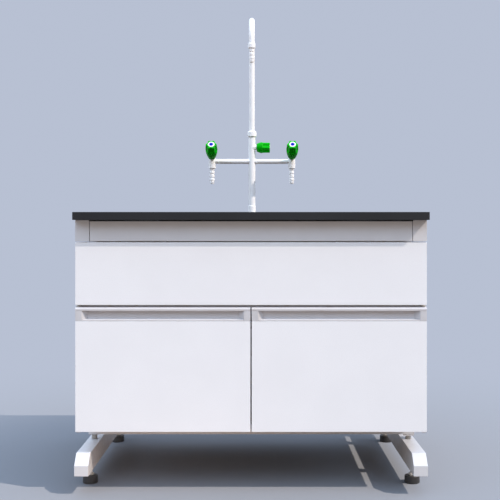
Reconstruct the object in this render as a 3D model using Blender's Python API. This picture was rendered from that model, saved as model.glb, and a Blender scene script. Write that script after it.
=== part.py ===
"""Laboratory sink bench: C-frame on levelling feet, two-door sink cabinet, worktop and triple-outlet tap.

Metres, +Z up. The origin is on the floor under the middle of the worktop, +X is to the user's right
and +Y points away from the user.
"""

import math

import bmesh
import bpy
from mathutils import Matrix, Vector

# Clearances
FIT = 0.0003              # between pieces that touch
RUNNING = 0.0003          # radial, round a turning pin, stem or tube

# Worktop
TOP_WIDTH = 1.000
TOP_DEPTH = 0.800
TOP_HEIGHT = 0.800        # floor to working surface
TOP_THICK = 0.022
SIDE_OVERHANG = 0.0018    # worktop past the frame's outer faces
FRONT_OVERHANG = 0.0315   # worktop past the front of the top arms
REAR_OVERHANG = 0.025     # worktop past the back of the uprights

# Steel frame
TUBE_WIDTH = 0.040
TUBE_DEPTH = 0.060
TUBE_WALL = 0.003
DRAIN_DIAMETER = 0.006    # drain hole of a tube whose ends are closed
DRAIN_INSET = 0.050
APRON_END_GAP = 0.0015
REAR_BEAM_DROP = 0.020    # rear beam below the top arms
FOOT_BAR_BASE = 0.0555    # floor to the underside of a foot bar
FOOT_BAR_HEIGHT = 0.059
FOOT_BAR_LEAD = 0.0135    # foot bar past the front of the top arms
NOSE_HEIGHT = 0.0295      # upright part of a foot bar's front end
NOSE_SLOPE = 0.031        # length of the slanted part, along the bar

# Levelling feet
PAD_DIAMETER = 0.043
PAD_HEIGHT = 0.023
PAD_CHAMFER = 0.0015
PAD_SOCKET_DEPTH = 0.010
STEM_DIAMETER = 0.012
STEM_ABOVE_BASE = 0.0295  # stem inside the foot bar
STEM_HEX_ACROSS = 0.019
STEM_HEX_HEIGHT = 0.006
PAD_FRONT_INSET = 0.143   # from the front end of a foot bar
PAD_REAR_INSET = 0.080    # from its rear end

# Cabinet carcass
BOARD = 0.018
BACK_BOARD = 0.008
DOOR_THICK = 0.020
DOOR_GAP = 0.003          # between a closed door and the carcass sides
FRONT_SETBACK = 0.002     # cabinet front behind the front of the top arms
CARCASS_TOP_GAP = 0.0026  # under the top arms
CARCASS_REAR_GAP = 0.005  # in front of the uprights
PANEL_HEIGHT = 0.1779     # fixed panel in front of the sink
PANEL_REVEAL = 0.006      # between the fixed panel and the doors
DOOR_SEAM = 0.0037        # between the two doors
MID_RAIL_HEIGHT = 0.070
MID_RAIL_RISE = 0.033     # mid rail above the panel's lower edge

# Cabinet base
GLIDE_HEIGHT = 0.016
GLIDE_PLATE = 0.0047
GLIDE_PLATE_X = 0.031
GLIDE_PLATE_Y = 0.028
GLIDE_DIAMETER = 0.018
BASE_RAIL_WIDTH = 0.030
BASE_RAIL_HEIGHT = 0.046
BASE_RAIL_WALL = 0.002
BASE_RAIL_END = 0.0017    # rail's end from the frame's outer face
FRONT_RAIL_INSET = 0.1965  # rail centre behind the cabinet front
REAR_RAIL_INSET = 0.109   # rail centre ahead of the carcass back

# Door handles, a recessed profile along the top of each door
HANDLE_HEIGHT = 0.040
HANDLE_TOP = 0.0105
HANDLE_CHAMFER = 0.005
HANDLE_LIP = 0.0035
RECESS_DEPTH = 0.016
RECESS_FLOOR_RISE = 0.003
CAP_WIDTH = 0.0185
CAP_REVEAL = 0.0008       # line between a cap and the profile's top, which runs on over it
CAP_SLOPE = 0.014         # how far a cap's inner face runs in at the back of the recess

# Door pivots
PIVOT_EDGE = 0.007        # axis from the door's outer edge
PIVOT_BACK = 0.009        # axis from the door's back face
PIN_DIAMETER = 0.006
PIN_LENGTH = 0.012
LEAF_THICK = 0.003
LEAF_GAP = 0.0012         # between a leaf and the door
FLANGE_THICK = 0.0025
FLANGE_WIDTH = 0.014
FLANGE_LENGTH = 0.040

# Sink and waste
SINK_WIDTH = 0.500
SINK_DEPTH = 0.250
SINK_WALL = 0.004
SINK_RIM = 0.022
SINK_CORNER = 0.020
SINK_FRONT = 0.150        # worktop's front edge to the bowl
SINK_BACK = 0.250         # worktop's back edge to the bowl
WASTE_BORE = 0.038
WASTE_FLANGE = 0.072
WASTE_WALL = 0.004
WASTE_PLATE = 0.003
WASTE_TAIL = 0.060        # below the bowl
TRAP_DIAMETER = 0.066
TRAP_HEIGHT = 0.110
TRAP_NECK = 0.020
OUTLET_DIAMETER = 0.040
OUTLET_WALL = 0.003
OUTLET_DROP = 0.045       # outlet axis below the top of the trap
OUTLET_BOSS = 0.020       # boss on the trap's side
OUTLET_TAIL = 0.025       # outlet behind the cabinet back

# Tap
TAP_BACK = 0.155          # worktop's back edge to the tap's axis
SHANK_DIAMETER = 0.020
SHANK_LENGTH = 0.060      # below the working surface
BASE_DIAMETER = 0.048
BASE_HEIGHT = 0.008
BOSS_DIAMETER = 0.0265
BOSS_HEIGHT = 0.0385
COLUMN_DIAMETER = 0.024
COLUMN_HEIGHT = 0.2795
NUT_ACROSS = 0.036
NUT_HEIGHT = 0.014
ARM_HEIGHT = 0.1937       # arm axis above the worktop
ARM_DIAMETER = 0.0168
ARM_SOCKET = 0.0165       # half length of the socket across the column
ARM_SOCKET_DIAMETER = 0.0195
VALVE_SPAN = 0.279        # between the two side valves
VALVE_DIAMETER = 0.025
VALVE_BELOW = 0.0247      # valve body below the arm axis
VALVE_ABOVE = 0.0143      # and above it
TOP_NECK_DIAMETER = 0.017
SIDE_NECK_DIAMETER = 0.0125
SPINDLE_DIAMETER = 0.008
SPINDLE_ENTRY = 0.010     # spindle inside its knob
NECK_GAP = 0.0008         # between a neck and its knob
SIDE_KNOB_TILT = math.radians(34.5)  # knob axis above the horizontal
SIDE_KNOB_REACH = 0.024   # valve axis to the back of the knob
SIDE_KNOB_LENGTH = 0.0686
SIDE_KNOB_SMALL = 0.0208  # diameter beside the valve
TOP_KNOB_HEIGHT = 0.2422  # third knob's axis above the worktop
TOP_KNOB_REACH = 0.0168
TOP_KNOB_LENGTH = 0.046
TOP_KNOB_SMALL = 0.0275
KNOB_LARGE = 0.0388
KNOB_GRIP = 0.0285        # fluted end of a knob
KNOB_BULGE = 0.0012       # how far the cone swells halfway along
KNOB_RUN_OUT = 0.005      # over which the flutes come to their depth
KNOB_FLUTES = 6
KNOB_FLUTE_DEPTH = 0.0036
KNOB_EDGE = 0.0015
SIDE_FLUTE_TURN = math.radians(90)
TOP_FLUTE_TURN = math.radians(10)
INDEX_DIAMETER = 0.025
INDEX_THICK = 0.0022
INDEX_SEAT = 0.0014
NOZZLE_LENGTH = 0.0538
NOZZLE_DIAMETER = 0.0172
NOZZLE_TIP = 0.0090
NOZZLE_BORE = 0.0055
BARB_STEP = 0.0023        # depth of the groove over each barb
BARB_PITCH = 0.0126
HOSE_BARBS = 4
HOSE_FIRST = 0.0075       # root of a hose nozzle to its first groove
SPOUT_BARBS = 3
SPOUT_FIRST = 0.0135      # and on the spout's nozzle, below its collar
COLLAR_DIAMETER = 0.0315
COLLAR_HEIGHT = 0.020
COLLAR_EDGE = 0.002
SPOUT_DIAMETER = 0.0193
SPOUT_WALL = 0.002
SPOUT_RISE = 0.313        # straight part above the column
SPOUT_REACH = 0.150
SPOUT_DROP = 0.0155       # straight part above the nozzle
SPOUT_COLLAR_DIAMETER = 0.0248
SPOUT_COLLAR_HEIGHT = 0.0165
SPOUT_NOZZLE_LENGTH = 0.049

# Facets
SIDES = 24
SMALL_SIDES = 16
ARC_STEPS = 24
CORNER_STEPS = 6
KNOB_SIDES = 36
SMOOTH_ANGLE = math.radians(35)

# Places worked out from the sizes above
FRAME_X = TOP_WIDTH / 2 - SIDE_OVERHANG
TUBE_X = FRAME_X - TUBE_WIDTH / 2
TOP_UNDER = TOP_HEIGHT - TOP_THICK
ARM_TOP = TOP_UNDER - FIT
ARM_BOTTOM = ARM_TOP - TUBE_DEPTH
ARM_FRONT = -TOP_DEPTH / 2 + FRONT_OVERHANG
FRAME_REAR = TOP_DEPTH / 2 - REAR_OVERHANG
UPRIGHT_FRONT = FRAME_REAR - TUBE_DEPTH
FOOT_FRONT = ARM_FRONT - FOOT_BAR_LEAD
FOOT_TOP = FOOT_BAR_BASE + FOOT_BAR_HEIGHT
PAD_Y = {"front": FOOT_FRONT + PAD_FRONT_INSET, "rear": FRAME_REAR - PAD_REAR_INSET}
SIDES_X = {"left": -1, "right": 1}

CABINET_FRONT = ARM_FRONT + FRONT_SETBACK
DOOR_BACK = CABINET_FRONT + DOOR_THICK
CARCASS_FRONT = DOOR_BACK + DOOR_GAP
CARCASS_REAR = UPRIGHT_FRONT - CARCASS_REAR_GAP
CARCASS_TOP = ARM_BOTTOM - CARCASS_TOP_GAP
RAIL_BOTTOM = FOOT_TOP + GLIDE_HEIGHT + 2 * FIT
CARCASS_BASE = RAIL_BOTTOM + BASE_RAIL_HEIGHT + FIT
INNER_X = FRAME_X - BOARD - FIT
FLOOR_TOP = CARCASS_BASE + BOARD
PANEL_BOTTOM = CARCASS_TOP - PANEL_HEIGHT
DOOR_TOP = PANEL_BOTTOM - PANEL_REVEAL
HANDLE_BOTTOM = DOOR_TOP - HANDLE_HEIGHT
RAIL_Y = {"front": CABINET_FRONT + FRONT_RAIL_INSET, "rear": CARCASS_REAR - REAR_RAIL_INSET}
PIVOT_X = FRAME_X - PIVOT_EDGE
PIVOT_Y = DOOR_BACK - PIVOT_BACK

SINK_LENGTH = TOP_DEPTH - SINK_FRONT - SINK_BACK
SINK_Y = (SINK_FRONT - SINK_BACK) / 2
SINK_TOP = TOP_UNDER - FIT
SINK_FLOOR = SINK_TOP - SINK_DEPTH
SINK_UNDER = SINK_FLOOR - SINK_WALL
TRAP_TOP = SINK_UNDER - WASTE_TAIL - FIT
OUTLET_Z = TRAP_TOP - OUTLET_DROP
OUTLET_START = SINK_Y + TRAP_DIAMETER / 2 + OUTLET_BOSS

TAP = Vector((0, TOP_DEPTH / 2 - TAP_BACK, TOP_HEIGHT))
COLUMN_TOP = TOP_HEIGHT + COLUMN_HEIGHT
SPOUT_START = COLUMN_TOP + FIT
SPOUT_ARC_Z = SPOUT_START + SPOUT_RISE
SPOUT_TIP_Y = TAP.y - SPOUT_REACH
SPOUT_END_Z = SPOUT_ARC_Z - SPOUT_DROP


def clear_scene():
    for item in list(bpy.data.objects):
        bpy.data.objects.remove(item, do_unlink=True)


def make_material(name, colour, roughness, metallic=0.0):
    material = bpy.data.materials.new(name)
    material.use_nodes = True
    shader = material.node_tree.nodes["Principled BSDF"]
    shader.inputs["Base Color"].default_value = (*colour, 1)
    shader.inputs["Roughness"].default_value = roughness
    shader.inputs["Metallic"].default_value = metallic
    return material


def add_object(name, shape, material=None, origin=(0, 0, 0), smooth=False):
    """Turns a bmesh drawn in world coordinates into an object with its origin at the given point."""
    bmesh.ops.recalc_face_normals(shape, faces=shape.faces)
    mesh = bpy.data.meshes.new(name)
    shape.to_mesh(mesh)
    shape.free()
    mesh.transform(Matrix.Translation(-Vector(origin)))
    if smooth:
        mesh.shade_smooth()
        mesh.set_sharp_from_angle(angle=SMOOTH_ANGLE)
    if material:
        mesh.materials.append(material)
    item = bpy.data.objects.new(name, mesh)
    item.location = origin
    bpy.context.scene.collection.objects.link(item)
    return item


def combine(item, operation, shape):
    """Cuts a shape from an object, or joins it on, with a hidden tool object."""
    tool = add_object(f"{item.name}_tool_{len(item.modifiers)}", shape)
    tool.hide_render = True
    tool.display_type = "WIRE"
    modifier = item.modifiers.new("cut" if operation == "DIFFERENCE" else "join", "BOOLEAN")
    modifier.operation = operation
    modifier.object = tool


def cut(item, shape):
    combine(item, "DIFFERENCE", shape)


def join(item, shape):
    combine(item, "UNION", shape)


def block(low, high):
    shape = bmesh.new()
    bmesh.ops.create_cube(shape, size=1)
    for vertex in shape.verts:
        vertex.co = [a + (b - a) * (c + 0.5) for a, b, c in zip(low, high, vertex.co)]
    return shape


def spread(centre, half):
    """The low and high end of a stretch."""
    return centre - half, centre + half


def prism(outline, axis, start, end):
    """An outline pushed along an axis: its points are (y, z) along X, and (x, y) along Z."""
    shape = bmesh.new()
    place = {"X": lambda p: (start, p[0], p[1]), "Z": lambda p: (p[0], p[1], start)}[axis]
    face = shape.faces.new([shape.verts.new(place(point)) for point in outline])
    pushed = bmesh.ops.extrude_face_region(shape, geom=[face])["geom"]
    step = Vector((end - start, 0, 0)) if axis == "X" else Vector((0, 0, end - start))
    bmesh.ops.translate(shape, verts=[v for v in pushed if isinstance(v, bmesh.types.BMVert)], vec=step)
    return shape


def turned(profile, centre=(0, 0, 0), sides=SIDES, closed=False, rotation=None):
    """A profile of (radius, height) points spun round +Z, then rotated and moved to its centre."""
    shape = bmesh.new()
    points = [shape.verts.new((radius, 0, height)) for radius, height in profile]
    pairs = list(zip(points, points[1:]))
    if closed:
        pairs.append((points[-1], points[0]))
    edges = [shape.edges.new(pair) for pair in pairs]
    bmesh.ops.spin(shape, geom=points + edges, axis=(0, 0, 1), cent=(0, 0, 0), steps=sides,
                   angle=math.tau, use_merge=True)
    bmesh.ops.remove_doubles(shape, verts=shape.verts, dist=1e-6)
    matrix = Matrix.Translation(centre) @ (rotation or Matrix()).to_4x4()
    bmesh.ops.transform(shape, matrix=matrix, verts=shape.verts)
    return shape


def rod(radius, low, high, centre=(0, 0, 0), sides=SIDES, rotation=None):
    profile = [(0, low), (radius, low), (radius, high), (0, high)]
    return turned(profile, centre, sides, rotation=rotation)


def loft(rings, closed=False):
    """Joins rings of points in order. An open run is capped at both ends, a closed one meets itself."""
    shape = bmesh.new()
    rows = [[shape.verts.new(point) for point in ring] for ring in rings]
    count = len(rows[0])
    pairs = list(zip(rows, rows[1:]))
    if closed:
        pairs.append((rows[-1], rows[0]))
    for near, far in pairs:
        for i in range(count):
            j = (i + 1) % count
            shape.faces.new((near[i], near[j], far[j], far[i]))
    if not closed:
        shape.faces.new(rows[0])
        shape.faces.new(rows[-1])
    return shape


def inset_outline(points, distance):
    """The outline drawn inside by a wall's thickness. Its points run anticlockwise."""
    lines = []
    for a, b in zip(points, points[1:] + points[:1]):
        a, b = Vector(a), Vector(b)
        along = (b - a).normalized()
        lines.append((a + Vector((-along.y, along.x)) * distance, along))
    inner = []
    for (p, u), (q, v) in zip(lines[-1:] + lines[:-1], lines):
        t = (q - p).cross(v) / u.cross(v)
        inner.append(tuple(p + u * t))
    return inner


def round_corners(width, length, radius, centre_y, height):
    """A rounded rectangle, centred on X, as points at one height."""
    points = []
    for quarter in range(4):
        right = 1 if quarter in (0, 3) else -1
        back = 1 if quarter in (0, 1) else -1
        x = right * (width / 2 - radius)
        y = centre_y + back * (length / 2 - radius)
        for step in range(CORNER_STEPS + 1):
            angle = math.pi / 2 * (quarter + step / CORNER_STEPS)
            points.append((x + radius * math.cos(angle), y + radius * math.sin(angle), height))
    return points


def circle_like_corners(radius, centre_y, height):
    """A circle whose points match those of round_corners one to one."""
    return round_corners(2 * radius, 2 * radius, radius * 0.98, centre_y, height)


def along_x():
    return Matrix.Rotation(math.pi / 2, 3, "Y")


def along_y():
    return Matrix.Rotation(-math.pi / 2, 3, "X")


def drain_below(x, y, bottom, wall):
    return rod(DRAIN_DIAMETER / 2, bottom - wall, bottom + 2 * wall, (x, y, 0), SMALL_SIDES)


def add_tube(name, low, high, wall, paint, drain):
    """A tube with closed ends: hollow inside its wall, with a drain hole."""
    tube = add_object(name, block(low, high), paint)
    cut(tube, block([value + wall for value in low], [value - wall for value in high]))
    cut(tube, drain)


def build_frame(paint):
    """Two welded C-frames, the apron rail between their arms and a rear beam between their uprights."""
    foot = [(FOOT_FRONT, FOOT_BAR_BASE), (FRAME_REAR, FOOT_BAR_BASE), (FRAME_REAR, FOOT_TOP),
            (FOOT_FRONT + NOSE_SLOPE, FOOT_TOP), (FOOT_FRONT, FOOT_BAR_BASE + NOSE_HEIGHT)]
    hollow = inset_outline(foot, TUBE_WALL)
    for side, sign in SIDES_X.items():
        x = sign * TUBE_X
        outer = spread(x, TUBE_WIDTH / 2)
        inner = spread(x, TUBE_WIDTH / 2 - TUBE_WALL)
        bar = add_object(f"foot_bar_{side}", prism(foot, "X", *outer), paint)
        cut(bar, prism(hollow, "X", *inner))
        for y in PAD_Y.values():
            hole = (FOOT_BAR_BASE - TUBE_WALL, FOOT_BAR_BASE + 2 * TUBE_WALL)
            cut(bar, rod(STEM_DIAMETER / 2 + RUNNING, *hole, (x, y, 0)))
        low, high = FOOT_TOP + FIT, ARM_BOTTOM - FIT
        drain = rod(DRAIN_DIAMETER / 2, FRAME_REAR - 2 * TUBE_WALL, FRAME_REAR + TUBE_WALL,
                    (x, 0, low + DRAIN_INSET), SMALL_SIDES, along_y())
        add_tube(f"upright_{side}", (outer[0], UPRIGHT_FRONT, low), (outer[1], FRAME_REAR, high),
                 TUBE_WALL, paint, drain)
        drain = drain_below(x, UPRIGHT_FRONT - DRAIN_INSET, ARM_BOTTOM, TUBE_WALL)
        add_tube(f"top_arm_{side}", (outer[0], ARM_FRONT, ARM_BOTTOM), (outer[1], FRAME_REAR, ARM_TOP),
                 TUBE_WALL, paint, drain)

    def cross_tube(name, half, front, bottom):
        drain = drain_below(half - DRAIN_INSET, front + TUBE_WIDTH / 2, bottom, TUBE_WALL)
        add_tube(name, (-half, front, bottom), (half, front + TUBE_WIDTH, bottom + TUBE_DEPTH),
                 TUBE_WALL, paint, drain)

    clear_x = FRAME_X - TUBE_WIDTH
    cross_tube("apron_rail", clear_x - APRON_END_GAP, ARM_FRONT, ARM_BOTTOM)
    beam_front = FRAME_REAR - (TUBE_DEPTH + TUBE_WIDTH) / 2
    cross_tube("rear_beam", clear_x - FIT, beam_front, ARM_BOTTOM - REAR_BEAM_DROP - TUBE_DEPTH)


def build_levellers(rubber, steel):
    """Four screw feet: a pad that stays flat on the floor and a threaded stem that turns in it."""
    radius = PAD_DIAMETER / 2
    socket = STEM_DIAMETER / 2 + RUNNING
    floor = PAD_HEIGHT - PAD_SOCKET_DEPTH
    pad = [(0, 0), (radius - PAD_CHAMFER, 0), (radius, PAD_CHAMFER), (radius, PAD_HEIGHT - PAD_CHAMFER),
           (radius - PAD_CHAMFER, PAD_HEIGHT), (socket, PAD_HEIGHT), (socket, floor), (0, floor)]
    for side, sign in SIDES_X.items():
        for end, y in PAD_Y.items():
            centre = (sign * TUBE_X, y, 0)
            add_object(f"leveller_pad_{end}_{side}", turned(pad, centre), rubber, centre, smooth=True)
            shaft = rod(STEM_DIAMETER / 2, floor + FIT, FOOT_BAR_BASE + STEM_ABOVE_BASE, centre)
            stem = add_object(f"leveller_stem_{end}_{side}", shaft, steel, centre, smooth=True)
            hexagon = rod(STEM_HEX_ACROSS / math.sqrt(3), PAD_HEIGHT + FIT,
                          PAD_HEIGHT + FIT + STEM_HEX_HEIGHT, centre, sides=6)
            join(stem, hexagon)


def build_carcass(board, paint):
    """The open-topped cabinet body, its fixed front panel, and the rails and glides that it stands on."""
    for side, sign in SIDES_X.items():
        x = sorted((sign * FRAME_X, sign * (FRAME_X - BOARD)))
        panel = add_object(f"side_panel_{side}", block((x[0], CARCASS_FRONT, CARCASS_BASE),
                                                       (x[1], CARCASS_REAR, CARCASS_TOP)), board)
        for low, high in flange_stretches():
            half = FLANGE_WIDTH / 2 + FIT
            cut(panel, block((sign * PIVOT_X - half, CARCASS_FRONT - BOARD, low - FIT),
                             (sign * PIVOT_X + half, CARCASS_FRONT + FLANGE_THICK + FIT, high + FIT)))
    add_object("bottom_panel", block((-INNER_X, CARCASS_FRONT, CARCASS_BASE),
                                     (INNER_X, CARCASS_REAR - BACK_BOARD - FIT, FLOOR_TOP)), board)
    back = add_object("back_panel", block((-INNER_X, CARCASS_REAR - BACK_BOARD, CARCASS_BASE),
                                          (INNER_X, CARCASS_REAR, CARCASS_TOP)), board)
    hole = (CARCASS_REAR - 2 * BACK_BOARD, CARCASS_REAR + BACK_BOARD)
    cut(back, rod(OUTLET_DIAMETER / 2 + FIT, *hole, (0, 0, OUTLET_Z), rotation=along_y()))
    rail_top = PANEL_BOTTOM + MID_RAIL_RISE
    add_object("mid_rail", block((-INNER_X, DOOR_BACK + FIT, rail_top - MID_RAIL_HEIGHT),
                                 (INNER_X, DOOR_BACK + FIT + BOARD, rail_top)), board)
    add_object("front_panel", block((-FRAME_X, CABINET_FRONT, PANEL_BOTTOM),
                                    (FRAME_X, DOOR_BACK, CARCASS_TOP)), board)
    for end, y in RAIL_Y.items():
        build_base_rail(end, y, paint)


def build_base_rail(end, y, paint):
    near, far = spread(y, BASE_RAIL_WIDTH / 2)
    drain = drain_below(TUBE_X - 2 * DRAIN_INSET, y, RAIL_BOTTOM, BASE_RAIL_WALL)
    half = FRAME_X - BASE_RAIL_END
    add_tube(f"base_rail_{end}", (-half, near, RAIL_BOTTOM),
             (half, far, RAIL_BOTTOM + BASE_RAIL_HEIGHT), BASE_RAIL_WALL, paint, drain)
    plate_top = RAIL_BOTTOM - FIT
    plate_bottom = plate_top - GLIDE_PLATE
    for side, sign in SIDES_X.items():
        x = sign * TUBE_X
        low_x, high_x = spread(x, GLIDE_PLATE_X / 2)
        low_y, high_y = spread(y, GLIDE_PLATE_Y / 2)
        glide = add_object(f"glide_{end}_{side}", block((low_x, low_y, plate_bottom),
                                                        (high_x, high_y, plate_top)), paint)
        join(glide, rod(GLIDE_DIAMETER / 2, FOOT_TOP + FIT, plate_top - GLIDE_PLATE / 2, (x, y, 0)))


def flange_stretches():
    """The heights of the lower and the upper pivot flange on a carcass side."""
    low_leaf = CARCASS_BASE - LEAF_GAP - LEAF_THICK
    high_leaf = DOOR_TOP + LEAF_GAP + LEAF_THICK
    return [(low_leaf, low_leaf + FLANGE_LENGTH), (high_leaf - FLANGE_LENGTH, high_leaf)]


def build_hinges(steel):
    """Pivot brackets let into the carcass sides, with a pin up into each door and one down into it."""
    lower, upper = flange_stretches()
    reach = FLANGE_WIDTH / 2
    flange_back = CARCASS_FRONT + FLANGE_THICK
    for side, sign in SIDES_X.items():
        x = sign * PIVOT_X
        for end, (low, high) in {"lower": lower, "upper": upper}.items():
            leaf = (low, low + LEAF_THICK) if end == "lower" else (high - LEAF_THICK, high)
            pin = (leaf[0] + LEAF_THICK / 2, leaf[1] + LEAF_GAP + PIN_LENGTH)
            if end == "upper":
                pin = (leaf[0] - LEAF_GAP - PIN_LENGTH, leaf[1] - LEAF_THICK / 2)
            bracket = add_object(f"door_pivot_{end}_{side}", block((x - reach, CARCASS_FRONT, low),
                                                                   (x + reach, flange_back, high)), steel)
            root = flange_back - FLANGE_THICK / 2
            outline = [(x + reach, root), (x - reach, root)]
            for step in range(CORNER_STEPS + 1):
                angle = math.pi * (1 + step / CORNER_STEPS)
                outline.append((x + reach * math.cos(angle), PIVOT_Y + reach * math.sin(angle)))
            join(bracket, prism(outline, "Z", *leaf))
            join(bracket, rod(PIN_DIAMETER / 2, *pin, (x, PIVOT_Y, 0), SMALL_SIDES))


def pin_hole(x, low, high):
    return rod(PIN_DIAMETER / 2 + RUNNING, low, high, (x, PIVOT_Y, 0), SMALL_SIDES)


def build_door(side, sign, board, profile_metal, plastic):
    """A door panel with the recessed handle profile along its top and a cap at each end of the recess."""
    pivot = (sign * PIVOT_X, PIVOT_Y, 0)
    inner_x = DOOR_SEAM / 2
    hole_depth = PIN_LENGTH + LEAF_GAP
    low_x, high_x = sorted((sign * inner_x, sign * FRAME_X))
    door = add_object(f"door_{side}", block((low_x, CABINET_FRONT, CARCASS_BASE),
                                            (high_x, DOOR_BACK, HANDLE_BOTTOM - FIT)), board, pivot)
    cut(door, pin_hole(pivot[0], CARCASS_BASE - BOARD, CARCASS_BASE + hole_depth))

    recess_back = CABINET_FRONT + RECESS_DEPTH
    recess_top = DOOR_TOP - HANDLE_TOP
    recess_low = HANDLE_BOTTOM + HANDLE_LIP
    recess_low_back = recess_low + RECESS_FLOOR_RISE
    channel = [(CABINET_FRONT, DOOR_TOP - HANDLE_CHAMFER), (CABINET_FRONT + HANDLE_CHAMFER, DOOR_TOP),
               (DOOR_BACK, DOOR_TOP), (DOOR_BACK, HANDLE_BOTTOM), (CABINET_FRONT, HANDLE_BOTTOM),
               (CABINET_FRONT, recess_low), (recess_back, recess_low_back), (recess_back, recess_top),
               (CABINET_FRONT, recess_top)]
    handle = add_object(f"handle_{side}", prism(channel, "X", low_x, high_x), profile_metal, pivot)
    top_hole = (DOOR_TOP - hole_depth, DOOR_TOP + BOARD)
    cut(handle, pin_hole(pivot[0], *top_hole))

    cap_top = recess_top - CAP_REVEAL / 2
    for end, edge, inward in (("outer", sign * FRAME_X, -sign), ("inner", sign * inner_x, sign)):
        face = edge + inward * CAP_WIDTH
        notch = sorted((edge - inward * CAP_WIDTH, face + inward * FIT))
        cut(handle, block((notch[0], CABINET_FRONT - BOARD, HANDLE_BOTTOM - BOARD),
                          (notch[1], DOOR_BACK + BOARD, recess_top + CAP_REVEAL / 2)))
        ends = sorted((edge, face))
        cap = add_object(f"handle_cap_{end}_{side}", block((ends[0], CABINET_FRONT, HANDLE_BOTTOM),
                                                           (ends[1], DOOR_BACK, cap_top)), plastic, pivot)
        root = face - inward * CAP_WIDTH / 2
        tip = face + inward * CAP_SLOPE
        wedge = bmesh.new()
        back = recess_back - FIT
        for x, y in ((root, CABINET_FRONT), (face, CABINET_FRONT), (tip, back), (root, back)):
            floor = recess_low + FIT + RECESS_FLOOR_RISE * (y - CABINET_FRONT) / RECESS_DEPTH
            wedge.verts.new((x, y, floor))
            wedge.verts.new((x, y, cap_top))
        bmesh.ops.convex_hull(wedge, input=wedge.verts)
        join(cap, wedge)
        if end == "outer":
            cut(cap, pin_hole(pivot[0], *top_hole))


def build_worktop(resin):
    half_x, half_y = TOP_WIDTH / 2, TOP_DEPTH / 2
    top = add_object("worktop", block((-half_x, -half_y, TOP_UNDER), (half_x, half_y, TOP_HEIGHT)), resin)
    outline = round_corners(SINK_WIDTH, SINK_LENGTH, SINK_CORNER, SINK_Y, 0)
    cut(top, prism([point[:2] for point in outline], "Z", TOP_UNDER - TOP_THICK, TOP_HEIGHT + TOP_THICK))
    cut(top, rod(SHANK_DIAMETER / 2 + FIT, TOP_UNDER - TOP_THICK, TOP_HEIGHT + TOP_THICK, (TAP.x, TAP.y, 0)))


def build_sink(polymer, chrome, waste_plastic):
    """The bowl under the worktop, its waste fitting, the bottle trap and the outlet through the back."""
    hole = WASTE_BORE / 2 + WASTE_WALL + FIT
    wall, rim = 2 * SINK_WALL, 2 * SINK_RIM
    width, length, corner = SINK_WIDTH, SINK_LENGTH, SINK_CORNER

    def ring(grow, height):
        return round_corners(width + grow, length + grow, corner + grow / 2, SINK_Y, height)

    rings = [ring(0, SINK_TOP), ring(0, SINK_FLOOR), circle_like_corners(hole, SINK_Y, SINK_FLOOR),
             circle_like_corners(hole, SINK_Y, SINK_UNDER), ring(wall, SINK_UNDER),
             ring(wall, SINK_TOP - SINK_WALL), ring(rim, SINK_TOP - SINK_WALL), ring(rim, SINK_TOP)]
    add_object("sink_bowl", loft(rings, closed=True), polymer)

    bore = WASTE_BORE / 2
    tail = bore + WASTE_WALL
    plate = SINK_FLOOR + FIT
    waste = [(bore, plate + WASTE_PLATE), (bore, TRAP_TOP + FIT), (tail, TRAP_TOP + FIT), (tail, plate),
             (WASTE_FLANGE / 2, plate), (WASTE_FLANGE / 2 - WASTE_PLATE / 2, plate + WASTE_PLATE)]
    add_object("sink_waste", turned(waste, (0, SINK_Y, 0), closed=True), chrome, smooth=True)

    neck = tail + WASTE_WALL
    belly = TRAP_DIAMETER / 2
    shoulder = TRAP_TOP - TRAP_NECK
    base = TRAP_TOP - TRAP_HEIGHT
    bottle = [(0, base), (belly - WASTE_WALL, base), (belly, base + WASTE_WALL), (belly, shoulder),
              (neck, shoulder + WASTE_WALL), (neck, TRAP_TOP), (0, TRAP_TOP)]
    trap = add_object("bottle_trap", turned(bottle, (0, SINK_Y, 0)), waste_plastic, smooth=True)
    boss = OUTLET_DIAMETER / 2 + OUTLET_WALL
    join(trap, rod(boss, SINK_Y, OUTLET_START - FIT, (0, 0, OUTLET_Z), rotation=along_y()))

    outer = OUTLET_DIAMETER / 2
    pipe = [(outer - OUTLET_WALL, OUTLET_START), (outer, OUTLET_START),
            (outer, CARCASS_REAR + OUTLET_TAIL), (outer - OUTLET_WALL, CARCASS_REAR + OUTLET_TAIL)]
    add_object("trap_outlet", turned(pipe, (0, 0, OUTLET_Z), closed=True, rotation=along_y()),
               waste_plastic, smooth=True)


def barbs(length, count, first):
    """The barbed outline of a hose nozzle from its root down to its tip, as (radius, height) points."""
    wide = NOZZLE_DIAMETER / 2
    neck = wide - BARB_STEP
    points = [(wide, 0)]
    for i in range(count):
        groove = -first - BARB_PITCH * i
        points.append((wide, groove + BARB_PITCH * 0.2))
        points.append((neck, groove + BARB_PITCH * 0.05))
        points.append((neck, groove - BARB_PITCH * 0.1))
        points.append((wide, groove - BARB_PITCH * 0.25))
    points.append((NOZZLE_TIP / 2, -length))
    return points


def nozzle_profile(length, count, first, collar=()):
    """A barbed nozzle that hangs from height 0, or below the collar's outline where it has one."""
    root = collar[-1][1] if collar else 0
    outside = [(radius, height + root) for radius, height in barbs(length, count, first)]
    bore = NOZZLE_BORE / 2
    return list(collar) + outside + [(bore, root - length), (bore, 0)]


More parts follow.
